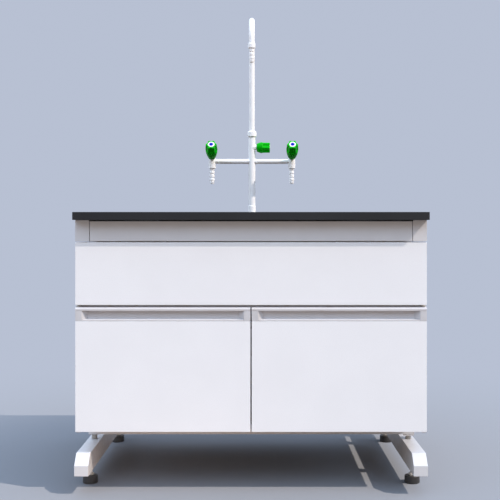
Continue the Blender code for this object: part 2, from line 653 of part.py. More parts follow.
def knob_rings(length, small_end, flute_turn):
    """Rings of a knob along +Z from its small end: a cone that swells into a fluted grip."""
    small, large = small_end / 2, KNOB_LARGE / 2
    cone = length - KNOB_GRIP
    stations = [(0, small, 0), (cone / 2, (small + large) / 2 + KNOB_BULGE, 0), (cone, large, 0),
                (cone + KNOB_RUN_OUT, large, 1),
                (length - KNOB_EDGE, large - KNOB_EDGE / 2, 1), (length, large - 2 * KNOB_EDGE, 0.7)]
    rings = []
    for height, radius, depth in stations:
        ring = []
        for i in range(KNOB_SIDES):
            angle = math.tau * i / KNOB_SIDES
            wave = 0.5 + 0.5 * math.cos(KNOB_FLUTES * (angle - flute_turn))
            r = radius - depth * KNOB_FLUTE_DEPTH * wave
            ring.append((r * math.cos(angle), r * math.sin(angle), height))
        rings.append(ring)
    return rings


def build_knob(name, centre, direction, size, green, index_plastic):
    """A knob whose small end is at the centre given, with its index disc let into the far end."""
    length, small_end, flute_turn = size
    turn = Vector((0, 0, 1)).rotation_difference(Vector(direction))
    matrix = Matrix.Translation(centre) @ turn.to_matrix().to_4x4()

    def placed(shape):
        bmesh.ops.transform(shape, matrix=matrix, verts=shape.verts)
        return shape

    seat = length - INDEX_SEAT
    knob = add_object(f"knob_{name}", placed(loft(knob_rings(*size))), green, centre, smooth=True)
    cut(knob, placed(rod(SPINDLE_DIAMETER / 2 + RUNNING, -KNOB_EDGE, SPINDLE_ENTRY + FIT)))
    cut(knob, placed(rod(INDEX_DIAMETER / 2 + FIT, seat, length + KNOB_EDGE)))
    disc = rod(INDEX_DIAMETER / 2, seat + FIT, seat + FIT + INDEX_THICK)
    add_object(f"knob_index_{name}", placed(disc), index_plastic, centre, smooth=True)


def build_tap(white, brass, green, index_plastic):
    """A column with two side valves on arms, a third valve and a swivelling gooseneck on top."""
    column_radius = COLUMN_DIAMETER / 2
    shank, base, boss = SHANK_DIAMETER / 2, BASE_DIAMETER / 2, BOSS_DIAMETER / 2
    column = [(0, -SHANK_LENGTH), (shank, -SHANK_LENGTH), (shank, FIT), (base, FIT),
              (base, BASE_HEIGHT / 2), (boss, BASE_HEIGHT), (boss, BOSS_HEIGHT - KNOB_EDGE),
              (column_radius, BOSS_HEIGHT), (column_radius, COLUMN_HEIGHT), (0, COLUMN_HEIGHT)]
    post = add_object("tap_column", turned(column, TAP), white, smooth=True)
    arm_centre = TAP + Vector((0, 0, ARM_HEIGHT))
    join(post, rod(ARM_SOCKET_DIAMETER / 2, -ARM_SOCKET, ARM_SOCKET, arm_centre, rotation=along_x()))
    top_valve = TAP + Vector((0, 0, TOP_KNOB_HEIGHT))
    join(post, rod(TOP_NECK_DIAMETER / 2, 0, TOP_KNOB_REACH - NECK_GAP, top_valve, rotation=along_x()))
    join(post, rod(SPINDLE_DIAMETER / 2, 0, TOP_KNOB_REACH + SPINDLE_ENTRY, top_valve, rotation=along_x()))
    size = (TOP_KNOB_LENGTH, TOP_KNOB_SMALL, TOP_FLUTE_TURN)
    build_knob("top", top_valve + Vector((TOP_KNOB_REACH, 0, 0)), (1, 0, 0), size, green, index_plastic)

    nut = add_object("tap_lock_nut", rod(NUT_ACROSS / math.sqrt(3), -NUT_HEIGHT, 0,
                                         (TAP.x, TAP.y, TOP_UNDER - FIT), sides=6), brass)
    cut(nut, rod(shank + FIT, -2 * NUT_HEIGHT, NUT_HEIGHT, (TAP.x, TAP.y, TOP_UNDER)))

    tilt = Vector((0, -math.cos(SIDE_KNOB_TILT), math.sin(SIDE_KNOB_TILT)))
    neck_turn = Vector((0, 0, 1)).rotation_difference(tilt).to_matrix()
    radius = VALVE_DIAMETER / 2
    body = [(0, -VALVE_BELOW), (radius, -VALVE_BELOW), (radius, VALVE_ABOVE - 2 * KNOB_EDGE),
            (radius - 2 * KNOB_EDGE, VALVE_ABOVE), (0, VALVE_ABOVE)]
    for side, sign in SIDES_X.items():
        centre = arm_centre + Vector((sign * VALVE_SPAN / 2, 0, 0))
        valve = add_object(f"valve_{side}", turned(body, centre), white, smooth=True)
        stretch = sorted((-sign * (VALVE_SPAN / 2 - ARM_SOCKET - FIT), 0))
        join(valve, rod(ARM_DIAMETER / 2, *stretch, centre, rotation=along_x()))
        join(valve, rod(SIDE_NECK_DIAMETER / 2, 0, SIDE_KNOB_REACH - NECK_GAP, centre, rotation=neck_turn))
        join(valve, rod(SPINDLE_DIAMETER / 2, 0, SIDE_KNOB_REACH + SPINDLE_ENTRY, centre, rotation=neck_turn))
        root = centre - Vector((0, 0, VALVE_BELOW + FIT))
        profile = nozzle_profile(NOZZLE_LENGTH, HOSE_BARBS, HOSE_FIRST)
        add_object(f"hose_nozzle_{side}", turned(profile, root, closed=True), white, smooth=True)
        size = (SIDE_KNOB_LENGTH, SIDE_KNOB_SMALL, SIDE_FLUTE_TURN)
        build_knob(side, centre + tilt * SIDE_KNOB_REACH, tilt, size, green, index_plastic)
    build_gooseneck(white)


def build_gooseneck(white):
    spout = SPOUT_DIAMETER / 2
    inner, outer = spout + RUNNING, COLLAR_DIAMETER / 2
    collar = [(inner, 0), (outer - COLLAR_EDGE, 0), (outer, COLLAR_EDGE),
              (outer, COLLAR_HEIGHT - COLLAR_EDGE), (outer - COLLAR_EDGE, COLLAR_HEIGHT),
              (inner, COLLAR_HEIGHT)]
    add_object("swivel_collar", turned(collar, (TAP.x, TAP.y, SPOUT_START), closed=True), white, smooth=True)

    bend = SPOUT_REACH / 2
    path = [((TAP.y, SPOUT_START), 0)]
    for step in range(ARC_STEPS + 1):
        angle = math.pi * step / ARC_STEPS
        point = (TAP.y - bend + bend * math.cos(angle), SPOUT_ARC_Z + bend * math.sin(angle))
        path.append((point, angle))
    path.append(((SPOUT_TIP_Y, SPOUT_END_Z), math.pi))

    def ring(point, angle, radius):
        """A ring across the tube, where the angle is how far the tube has turned over."""
        points = []
        for i in range(SMALL_SIDES):
            a = math.tau * i / SMALL_SIDES
            across, sideways = radius * math.cos(a), radius * math.sin(a)
            points.append((TAP.x + sideways, point[0] + across * math.cos(angle),
                           point[1] + across * math.sin(angle)))
        return points

    outside = [ring(point, angle, spout) for point, angle in path]
    inside = [ring(point, angle, spout - SPOUT_WALL) for point, angle in reversed(path)]
    add_object("gooseneck", loft(outside + inside, closed=True), white, TAP, smooth=True)

    wide = SPOUT_COLLAR_DIAMETER / 2
    rim = [(wide - COLLAR_EDGE, 0), (wide, -COLLAR_EDGE), (wide, -SPOUT_COLLAR_HEIGHT)]
    profile = nozzle_profile(SPOUT_NOZZLE_LENGTH, SPOUT_BARBS, SPOUT_FIRST, rim)
    place = (TAP.x, SPOUT_TIP_Y, SPOUT_END_Z - FIT)
    nozzle = add_object("spout_nozzle", turned(profile, place, closed=True), white, smooth=True)
    nozzle.data.transform(Matrix.Translation(-TAP))
    nozzle.location = TAP


def main():
    clear_scene()
    paint = make_material("frame_paint", (0.68, 0.68, 0.70), 0.35)
    board = make_material("white_board", (0.82, 0.82, 0.87), 0.5)
    resin = make_material("dark_resin", (0.04, 0.04, 0.043), 0.45)
    profile_metal = make_material("handle_profile", (0.66, 0.66, 0.70), 0.4)
    plastic = make_material("cap_plastic", (0.62, 0.62, 0.66), 0.45)
    rubber = make_material("black_rubber", (0.02, 0.02, 0.02), 0.7)
    steel = make_material("zinc_steel", (0.55, 0.55, 0.56), 0.35, 1.0)
    brass = make_material("nut_brass", (0.70, 0.52, 0.22), 0.3, 1.0)
    chrome = make_material("waste_chrome", (0.75, 0.75, 0.77), 0.15, 1.0)
    polymer = make_material("sink_polymer", (0.025, 0.025, 0.027), 0.4)
    waste_plastic = make_material("waste_plastic", (0.75, 0.75, 0.75), 0.4)
    white = make_material("tap_white", (0.88, 0.88, 0.89), 0.2)
    green = make_material("knob_green", (0.0, 0.45, 0.01), 0.3)
    index_plastic = make_material("index_white", (0.90, 0.90, 0.92), 0.3)

    build_frame(paint)
    build_levellers(rubber, steel)
    build_carcass(board, paint)
    build_hinges(steel)
    for side, sign in SIDES_X.items():
        build_door(side, sign, board, profile_metal, plastic)
    build_worktop(resin)
    build_sink(polymer, chrome, waste_plastic)
    build_tap(white, brass, green, index_plastic)


main()
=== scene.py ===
import math

import bmesh
import bpy
from mathutils import Matrix, Vector


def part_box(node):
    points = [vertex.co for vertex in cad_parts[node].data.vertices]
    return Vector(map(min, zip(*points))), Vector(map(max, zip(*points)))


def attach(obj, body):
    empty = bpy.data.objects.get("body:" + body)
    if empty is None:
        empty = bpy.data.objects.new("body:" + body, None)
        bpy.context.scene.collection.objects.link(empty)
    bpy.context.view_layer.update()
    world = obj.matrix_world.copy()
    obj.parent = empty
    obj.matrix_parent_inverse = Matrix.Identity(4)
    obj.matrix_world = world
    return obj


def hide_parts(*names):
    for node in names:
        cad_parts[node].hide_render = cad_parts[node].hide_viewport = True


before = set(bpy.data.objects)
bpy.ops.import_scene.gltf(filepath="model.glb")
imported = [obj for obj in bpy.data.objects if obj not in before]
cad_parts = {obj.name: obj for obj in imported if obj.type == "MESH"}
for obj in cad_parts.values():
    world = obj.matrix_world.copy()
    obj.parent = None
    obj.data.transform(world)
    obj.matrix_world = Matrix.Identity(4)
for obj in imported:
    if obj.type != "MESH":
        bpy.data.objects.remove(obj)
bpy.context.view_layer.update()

# Bodies
BENCH = "bench"
SIDES = {"left": -1, "right": 1}
ENDS = ("front", "rear")

# Facets
ROUND = 64
FINE_ROUND = 96
SMOOTH = math.radians(38)

# Edges
BOARD_EDGE = 0.0008
CUT_EDGE = 0.0005  # boards with a cut-out
TUBE_CORNER = 0.0025
TUBE_END = 0.0006
RAIL_CORNER = 0.0008
PLASTIC_EDGE = 0.0006
FIT = 0.0003  # between pieces that touch

# Door grips and pivots
GRIP_LIP = 0.0035
GRIP_RISE = 0.003
GRIP_DEPTH = 0.016
GRIP_TOP = 0.0105
GRIP_CHAMFER = 0.005
CAP_WIDTH = 0.0185
CAP_SLOPE = 0.014
CAP_REVEAL = 0.0008
PIN_HOLE = 0.0033  # radius
PIN_DEPTH = 0.0132
PIVOT_SCREWS = (0.014, 0.030)
PIVOT_PIN = 0.0162  # height of its tip
SCREW_RADIUS = 0.0034
SCREW_SLOT = (0.0022, 0.0005)  # half its length and width

# Frame, feet and glides
NOSE_HEIGHT = 0.0295  # upright part of a foot bar's front end
NOSE_SLOPE = 0.031
FOOT_BAR_EDGE = 0.0009
APRON_GAP = 0.0022  # shadow gap under the worktop
PAD_FLARE = 0.0011  # a pad spreads under the load
PLUG_HEAD = 0.0028
RAIL_PLUG_HEAD = 0.0008
PLUG_RIM = 0.0012  # of the tube's wall that a plug leaves bare
WELD_RADIUS = 0.0022
WELD_STATIONS = 160
WELD_SIDES = 10
WELD_RIPPLE = 0.10  # of the radius
WELD_PITCH = 0.0035
PAD_SOCKET = 0.0064
PAD_SOCKET_DEPTH = 0.010
HEX_RADIUS = 0.01097
HEX_HEIGHT = 0.006
STEM_ROOT = 0.0058
STEM_THREAD = (0.006, 0.00175, 0.0009)  # radius, pitch, depth
GLIDE_PLATE = {"left": 0.0012, "right": 0.0047}
STUB_RADIUS = 0.0083
STUB_FOOT = (0.009, 0.0035)  # radius, height

# Photograph
PICTURE = 500
FOCAL = 900  # in pixels of the picture
SENSOR = 36  # in millimetres
CAMERA = Vector((0.0138, -2.916, 0.7356))
CENTRE_PX = (255.9, 235)  # where the camera's level axis meets the picture


# Meshes

def box_of(node):
    low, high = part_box(node)
    return Vector(low), Vector(high)


def middle(node):
    low, high = box_of(node)
    return (low + high) / 2


def show(name, data):
    item = bpy.data.objects.new(name, data)
    bpy.context.scene.collection.objects.link(item)
    return item


def solid(name, shape):
    """A new object from a bmesh, which is used up."""
    bmesh.ops.recalc_face_normals(shape, faces=shape.faces)
    mesh = bpy.data.meshes.new(name)
    shape.to_mesh(mesh)
    shape.free()
    return show(name, mesh)


def piece(name, shape, finish, body, *nodes, weighted=True):
    """Turns a bmesh in the row frame into a piece that rides on a body and stands for the nodes given."""
    material, slot = finish
    item = solid(name, shape)
    item.data.shade_smooth()
    item.data.set_sharp_from_angle(angle=SMOOTH)
    item.data.materials.append(material)
    if weighted:
        even = item.modifiers.new("even", "WEIGHTED_NORMAL")
        even.keep_sharp = True
        even.weight = 100
    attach(item, body)
    if nodes:
        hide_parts(*nodes)


def merged(base, *parts, cut=(), within=()):
    """One bmesh from several: parts joined to the base, cutters taken out, and only what lies within."""
    main = solid("scratch", base)
    tools = [(solid("scratch", shape), "UNION") for shape in parts]
    tools += [(solid("scratch", shape), "DIFFERENCE") for shape in cut]
    tools += [(solid("scratch", shape), "INTERSECT") for shape in within]
    for tool, operation in tools:
        step = main.modifiers.new("step", "BOOLEAN")
        step.operation = operation
        step.object = tool
    bpy.context.view_layer.update()
    result = bmesh.new()
    result.from_object(main, bpy.context.evaluated_depsgraph_get())
    for item in [main] + [tool for tool, _ in tools]:
        mesh = item.data
        bpy.data.objects.remove(item)
        bpy.data.meshes.remove(mesh)
    bmesh.ops.dissolve_degenerate(result, edges=result.edges, dist=1e-7)
    return result


def sharp_edges(shape, angle=math.radians(30)):
    return [e for e in shape.edges if len(e.link_faces) == 2 and e.calc_face_angle(0) > angle]


def soften(shape, width, steps=3, edges=None):
    """Rounds a shape's sharp edges, or the edges given."""
    bmesh.ops.bevel(shape, geom=edges or sharp_edges(shape), offset=width, segments=steps, profile=0.5,
                    affect="EDGES", clamp_overlap=True)
    return shape


def block(low, high, edge=0.0, steps=3):
    shape = bmesh.new()
    bmesh.ops.create_cube(shape, size=1)
    for vertex in shape.verts:
        vertex.co = [a + (b - a) * (c + 0.5) for a, b, c in zip(low, high, vertex.co)]
    if edge:
        soften(shape, edge, steps)
    return shape


def tube(low, high, axis, corner=TUBE_CORNER, end=TUBE_END):
    """A rolled steel section: rounded along its length, with only a broken edge at its ends."""
    shape = block(low, high)
    along = [e for e in shape.edges if abs((e.verts[0].co - e.verts[1].co)[axis]) > 1e-6]
    soften(shape, corner, 5, along)
    soften(shape, end, 2, sharp_edges(shape, math.radians(60)))
    return shape


def rounded(points, radius, steps=5, closed=True):
    """An outline with its corners turned into arcs. A point may bring its own radius as a third number."""
    outline = []
    count = len(points)
    for i, point in enumerate(points):
        here = Vector(point[:2])
        size = point[2] if len(point) > 2 else radius
        if size <= 0 or (not closed and i in (0, count - 1)):
            outline.append(tuple(here))
            continue
        back = Vector(points[i - 1][:2]) - here
        ahead = Vector(points[(i + 1) % count][:2]) - here
        angle = back.angle(ahead)
        if abs(angle - math.pi) < 1e-3:
            outline.append(tuple(here))
            continue
        reach = min(size / math.tan(angle / 2), 0.48 * back.length, 0.48 * ahead.length)
        size = reach * math.tan(angle / 2)
        centre = here + (back.normalized() + ahead.normalized()).normalized() * (size / math.sin(angle / 2))
        first = here + back.normalized() * reach - centre
        last = here + ahead.normalized() * reach - centre
        start = math.atan2(first.y, first.x)
        sweep = (math.atan2(last.y, last.x) - start + math.pi) % math.tau - math.pi
        for step in range(steps + 1):
            a = start + sweep * step / steps
            outline.append((centre.x + size * math.cos(a), centre.y + size * math.sin(a)))
    return outline


def place(shape, centre, turn=None):
    """Turns a shape about the origin and moves it to its centre."""
    matrix = Matrix.Translation(centre) @ (turn or Matrix.Identity(3)).to_4x4()
    bmesh.ops.transform(shape, matrix=matrix, verts=shape.verts)
    return shape


def prism(outline, axis, start, end):
    """An outline pushed along X, where its points are (y, z), along Y (x, z) or along Z (x, y)."""
    spot = {"X": lambda p: (start, p[0], p[1]), "Y": lambda p: (p[0], start, p[1]),
            "Z": lambda p: (p[0], p[1], start)}[axis]
    shape = bmesh.new()
    face = shape.faces.new([shape.verts.new(spot(point)) for point in outline])
    pushed = bmesh.ops.extrude_face_region(shape, geom=[face])["geom"]
    step = Vector([(end - start) * (axis == name) for name in "XYZ"])
    bmesh.ops.translate(shape, verts=[v for v in pushed if isinstance(v, bmesh.types.BMVert)], vec=step)
    return shape


def turned(profile, centre=(0, 0, 0), sides=ROUND, closed=False, turn=None):
    """A profile of (radius, height) points spun round +Z, then turned and moved to its centre."""
    shape = bmesh.new()
    points = [shape.verts.new((radius, 0, height)) for radius, height in profile]
    pairs = list(zip(points, points[1:]))
    if closed:
        pairs.append((points[-1], points[0]))
    edges = [shape.edges.new(pair) for pair in pairs]
    bmesh.ops.spin(shape, geom=points + edges, axis=(0, 0, 1), cent=(0, 0, 0), steps=sides,
                   angle=math.tau, use_merge=True)
    bmesh.ops.remove_doubles(shape, verts=shape.verts, dist=1e-6)
    return place(shape, centre, turn)


def rod(radius, low, high, centre=(0, 0, 0), sides=ROUND, turn=None, edge=0.0):
    profile = rounded([(0, low), (radius, low), (radius, high), (0, high)], edge, 4, closed=False)
    return turned(profile, centre, sides, turn=turn)


def revolved(profile, centre, steps=4, turn=None, sides=ROUND):
    """A solid from a profile that starts and ends on the axis. Its points bring their corner radii."""
    return turned(rounded(profile, 0, steps, closed=False), centre, sides, turn=turn)


def sleeve(profile, centre, steps=4, turn=None):
    """A ring from a closed profile off the axis. Its points bring their corner radii."""
    return turned(rounded(profile, 0, steps), centre, closed=True, turn=turn)


def loft(rings, closed=False):
    """Joins rings of points in order. An open run is capped at both ends, a closed one meets itself."""
    shape = bmesh.new()
    rows = [[shape.verts.new(point) for point in ring] for ring in rings]
    count = len(rows[0])
    pairs = list(zip(rows, rows[1:]))
    if closed:
        pairs.append((rows[-1], rows[0]))
    for near, far in pairs:
        for i in range(count):
            j = (i + 1) % count
            shape.faces.new((near[i], near[j], far[j], far[i]))
    if not closed:
        shape.faces.new(rows[0])
        shape.faces.new(rows[-1])
    return shape


def waved(sides, radius, height, depth=0.0, waves=1, start=0.0):
    """A ring of points round +Z, whose radius rises by a depth in each of its waves."""
    points = []
    for i in range(sides):
        a = math.tau * i / sides
        r = radius + depth * (0.5 + 0.5 * math.cos(waves * (a - start)))
        points.append((r * math.cos(a), r * math.sin(a), height))
    return points


def towards(direction):
    return Vector((0, 0, 1)).rotation_difference(Vector(direction)).to_matrix()


ALONG_X = towards((1, 0, 0))
ALONG_Y = towards((0, 1, 0))


def threaded(radius, pitch, depth, low, high, centre, sides=24, per_turn=5):
    """A screw: rings whose radius follows a helix of the pitch given."""
    rings = []
    count = round((high - low) / pitch * per_turn)
    for k in range(count + 1):
        height = low + (high - low) * k / count
        ring = []
        for i in range(sides):
            phase = (height / pitch - i / sides) % 1.0
            dip = 1 - abs(2 * phase - 1)
            if k in (0, count):
                dip = 1
            r = radius - depth * dip
            a = math.tau * i / sides
            ring.append((centre[0] + r * math.cos(a), centre[1] + r * math.sin(a), height))
        rings.append(ring)
    return loft(rings)


# Materials

class Nodes:
    """A node tree, with short ways to add to it."""

    def __init__(self, tree):
        self.tree = tree

    def add(self, kind, inputs=None, **settings):
        """A node with its settings and its inputs."""
        node = self.tree.nodes.new(kind)
        for key, value in settings.items():
            setattr(node, key, value)
        self.feed(node, inputs or {})
        return node

    def feed(self, node, inputs):
        """Gives each input named a value, or a link from the socket given."""
        for key, value in inputs.items():
            if isinstance(value, bpy.types.NodeSocket):
                self.tree.links.new(value, node.inputs[key])
            else:
                node.inputs[key].default_value = value

    def mix(self, share, first, second):
        """A colour between two, each a colour or a socket that brings one."""
        pair = [item if isinstance(item, bpy.types.NodeSocket) else (*item, 1) for item in (first, second)]
        return self.add("ShaderNodeMix", {0: share, 6: pair[0], 7: pair[1]}, data_type="RGBA").outputs[2]

    def smooth(self, value, limits):
        """Carries a value over to 0 to 1, smoothly between two limits."""
        inputs = {"Value": value, "From Min": limits[0], "From Max": limits[1]}
        return self.add("ShaderNodeMapRange", inputs, interpolation_type="SMOOTHSTEP").outputs["Result"]

    def choose(self, share, first, second):
        """A shader between two."""
        return self.add("ShaderNodeMixShader", {0: share, 1: first, 2: second}).outputs["Shader"]


class Look(Nodes):
    """A Principled material with the few procedural layers that the pieces here need."""

    def __init__(self, name, colour, roughness, metallic=0.0, specular=0.5):
        self.material = bpy.data.materials.new(name)
        self.material.use_nodes = True
        super().__init__(self.material.node_tree)
        self.shader = self.tree.nodes["Principled BSDF"]
        self.colour = colour
        self.feed(self.shader, {"Base Color": (*colour, 1), "Roughness": roughness, "Metallic": metallic,
                                "Specular IOR Level": specular})
        self.place = self.add("ShaderNodeTexCoord").outputs["Object"]
        self.normal = None

    def noise(self, scale, detail=3.0, stretch=(1, 1, 1)):
        """Noise whose grain is about 1 / scale metres, longer along axes with a stretch below 1."""
        spread = self.add("ShaderNodeMapping", {"Vector": self.place, "Scale": stretch}).outputs["Vector"]
        inputs = {"Vector": spread, "Scale": scale, "Detail": detail}
        return self.add("ShaderNodeTexNoise", inputs).outputs["Fac"]

    def cells(self, scale):
        inputs = {"Vector": self.place, "Scale": scale}
        return self.add("ShaderNodeTexVoronoi", inputs, feature="F1").outputs["Distance"]

    def ramp(self, factor, low, high, start=0.0, end=1.0):
        """Carries a 0 to 1 value over to a range, straight between start and end."""
        inputs = {"Value": factor, "From Min": start, "From Max": end, "To Min": low, "To Max": high}
        return self.add("ShaderNodeMapRange", inputs).outputs["Result"]

    def tint(self, factor, other, start=0.35, end=0.65):
        """Lets the base colour drift to another one where the factor is high."""
        base = self.shader.inputs["Base Color"]
        below = base.links[0].from_socket if base.is_linked else self.colour
        self.feed(self.shader, {"Base Color": self.mix(self.ramp(factor, 0, 1, start, end), below, other)})

    def polish(self, factor, low, high, start=0.3, end=0.7):
        self.feed(self.shader, {"Roughness": self.ramp(factor, low, high, start, end)})

    def bump(self, height, strength, distance):
        """Adds relief on top of what is there already."""
        inputs = {"Height": height, "Strength": strength, "Distance": distance}
        if self.normal:
            inputs["Normal"] = self.normal
        self.normal = self.add("ShaderNodeBump", inputs).outputs["Normal"]
        self.feed(self.shader, {"Normal": self.normal})


def shade(colour, factor):
    return tuple(channel * factor for channel in colour)


def make_board():
    """Melamine-faced board: a fine pearl texture with the faintest cloudiness in its white."""
    white = (0.835, 0.850, 0.882)
    look = Look("melamine_white", white, 0.42)
    look.tint(look.noise(9, 4), shade(white, 0.975))
    look.tint(look.noise(420, 2), shade(white, 0.95), 0.45, 0.75)
    look.polish(look.noise(160, 2), 0.36, 0.52)
    look.bump(look.noise(520, 2), 0.16, 0.0004)
    look.bump(look.cells(330), 0.10, 0.0003)
    return look.material


def make_paint(name, colour):
    """Powder coat: soft orange peel and a slightly uneven gloss."""
    look = Look(name, colour, 0.20)
    look.tint(look.noise(14, 3), shade(colour, 0.965))
    look.polish(look.noise(60, 3), 0.15, 0.26)
    look.bump(look.noise(260, 2), 0.07, 0.0005)
    look.bump(look.noise(900, 2), 0.06, 0.0002)
    return look.material


def make_resin():
    """Solid resin worktop: near-black with a fine grey fleck and a matt, lightly textured face."""
    dark = (0.020, 0.020, 0.0215)
    look = Look("worktop_resin", dark, 0.5, specular=0.3)
    look.tint(look.noise(700, 3), (0.038, 0.038, 0.040), 0.58, 0.75)
    look.tint(look.noise(6, 3), shade(dark, 0.85))
    look.polish(look.noise(45, 4), 0.42, 0.58)
    look.bump(look.noise(480, 3), 0.22, 0.0004)
    return look.material


def make_profile():
    """Coated aluminium extrusion: faint die lines along its length."""
    grey = (0.60, 0.592, 0.612)
    look = Look("handle_coating", grey, 0.38)
    lines = look.noise(900, 2, (0.004, 1, 1))
    look.tint(lines, shade(grey, 0.955), 0.42, 0.7)
    look.polish(lines, 0.32, 0.44)
    look.bump(lines, 0.12, 0.0002)
    look.bump(look.noise(500, 2), 0.05, 0.0002)
    return look.material


def make_moulded(name, colour, roughness, grain=700, strength=0.10):
    """Moulded plastic or rubber: a fine spark-eroded grain and a little cloudiness."""
    look = Look(name, colour, roughness)
    look.tint(look.noise(35, 3), shade(colour, 0.9))
    look.polish(look.noise(90, 3), roughness * 0.85, roughness * 1.2)
    look.bump(look.noise(grain, 2), strength, 0.0003)
    return look.material


def make_zinc(name, colour, bloom):
    """Zinc plate: a grey metal with a mottled, slightly yellow bloom."""
    look = Look(name, colour, 0.45, metallic=0.35)
    look.tint(look.noise(140, 4), bloom)
    look.polish(look.noise(220, 3), 0.36, 0.55)
    look.bump(look.noise(900, 2), 0.08, 0.0002)
    return look.material


def make_chrome():
    look = Look("chrome_plate", (0.78, 0.78, 0.80), 0.08, metallic=1.0)
    look.tint(look.noise(60, 3), (0.70, 0.70, 0.72))
    look.polish(look.noise(120, 4), 0.05, 0.16)
    look.bump(look.noise(500, 2), 0.02, 0.0002)
    return look.material


def make_brass():
    look = Look("turned_brass", (0.72, 0.52, 0.22), 0.28, metallic=1.0)
    look.tint(look.noise(90, 4), (0.55, 0.38, 0.15))
    lines = look.noise(800, 2, (0.05, 0.05, 1))
    look.polish(lines, 0.2, 0.4)
    look.bump(lines, 0.12, 0.0002)
    return look.material


def make_enamel():
    """The tap's white chemical-resistant coat: glossy, with a soft orange peel."""
    white = (0.94, 0.945, 0.955)
    look = Look("tap_enamel", white, 0.24)
    look.tint(look.noise(40, 3), shade(white, 0.97))
    look.polish(look.noise(130, 3), 0.19, 0.30)
    look.bump(look.noise(340, 2), 0.06, 0.0003)
    return look.material


def make_gloss(name, colour, roughness=0.36, specular=0.25):
    look = Look(name, colour, roughness, specular=specular)
    look.tint(look.noise(70, 3), shade(colour, 0.88))
    look.polish(look.noise(180, 3), roughness * 0.8, roughness * 1.3)
    look.bump(look.noise(600, 2), 0.05, 0.0002)
    return look.material


# Finishes: a material, and the name of the slot that it belongs to
BOARD = (make_board(), "white_board")
PAINT = (make_paint("frame_powder_coat", (0.645, 0.650, 0.672)), "frame_paint")
RESIN = (make_resin(), "dark_resin")
PROFILE = (make_profile(), "handle_profile")
CAP = (make_moulded("cap_plastic_grey", (0.59, 0.59, 0.615), 0.42), "cap_plastic")
PLUG = (make_moulded("plug_plastic_grey", (0.50, 0.51, 0.53), 0.45), "cap_plastic")
RUBBER = (make_moulded("pad_rubber_black", (0.044, 0.042, 0.041), 0.40, 500, 0.15), "black_rubber")
SINK = (make_moulded("sink_polypropylene", (0.022, 0.022, 0.024), 0.38, 420, 0.14), "sink_polymer")
WASTE = (make_moulded("waste_plastic_white", (0.76, 0.76, 0.75), 0.36), "waste_plastic")
ZINC = (make_zinc("zinc_plate", (0.78, 0.75, 0.70), (0.68, 0.64, 0.57)), "zinc_steel")
# A darker copy of the zinc plate: painted shade on the glide stubs, which sit in shade under the glide
# plates.
STUB_SHADE_ZINC = (make_zinc("zinc_plate_painted_shade", (0.50, 0.47, 0.43), (0.42, 0.39, 0.35)), "zinc_steel")
CHROME = (make_chrome(), "waste_chrome")
BRASS = (make_brass(), "nut_brass")
ENAMEL = (make_enamel(), "tap_white")
GREEN = (make_gloss("knob_plastic_green", (0.0, 0.43, 0.003), 0.42, 0.07), "knob_green")
INDEX = (make_gloss("index_plastic_white", (0.86, 0.86, 0.88)), "index_white")
BLUE = (make_gloss("index_plastic_blue", (0.0, 0.002, 0.42), 0.36, 0.15), "index_white")


# Steel frame

def build_frame():
    for side in SIDES:
        build_foot_bar(side)
        for node, axis in ((f"upright_{side}", 2), (f"top_arm_{side}", 1)):
            piece(f"{node}_tube", tube(*box_of(node), axis), PAINT, BENCH, node)
        end_plug(f"foot_plug_{side}", box_of(f"foot_bar_{side}"), 1, 1)
        end_plug(f"arm_plug_{side}", box_of(f"top_arm_{side}"), 1, 1)
        low, high = box_of(f"upright_{side}")
        for name, z in (("lower", low.z), ("upper", high.z)):
            weld_bead(f"weld_{name}_{side}", low, high, z)
    for node, gap in (("apron_rail", APRON_GAP), ("rear_beam", 0)):
        low, high = box_of(node)
        high.z -= gap
        piece(f"{node}_tube", tube(low, high, 0), PAINT, BENCH, node)
    for end in ENDS:
        node = f"base_rail_{end}"
        low, high = box_of(node)
        low.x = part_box(f"glide_{end}_left")[0].x
        high.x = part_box(f"glide_{end}_right")[1].x
        piece(f"{node}_tube", tube(low, high, 0, RAIL_CORNER), PAINT, BENCH, node)
        for side, sign in SIDES.items():
            end_plug(f"rail_plug_{end}_{side}", (low, high), 0, sign, RAIL_PLUG_HEAD)


def build_foot_bar(side):
    """The bar that carries an upright, with its slanted nose."""
    low, high = box_of(f"foot_bar_{side}")
    outline = [(low.y, low.z), (high.y, low.z), (high.y, high.z), (low.y + NOSE_SLOPE, high.z),
               (low.y, low.z + NOSE_HEIGHT)]
    shape = prism(outline, "X", low.x, high.x)
    soften(shape, FOOT_BAR_EDGE, 3, sharp_edges(shape, math.radians(20)))
    piece(f"foot_bar_{side}_tube", shape, PAINT, BENCH, f"foot_bar_{side}")


def end_plug(name, tube_box, axis, sign, head=PLUG_HEAD):
    """A moulded plug on a tube's end: a thin domed head over the wall."""
    face = tube_box[1 if sign > 0 else 0][axis]
    low, high = [value + PLUG_RIM for value in tube_box[0]], [value - PLUG_RIM for value in tube_box[1]]
    low[axis], high[axis] = sorted((face + sign * 0.0002, face + sign * head))
    piece(name, block(low, high, head * 0.4, 4), PLUG, BENCH)


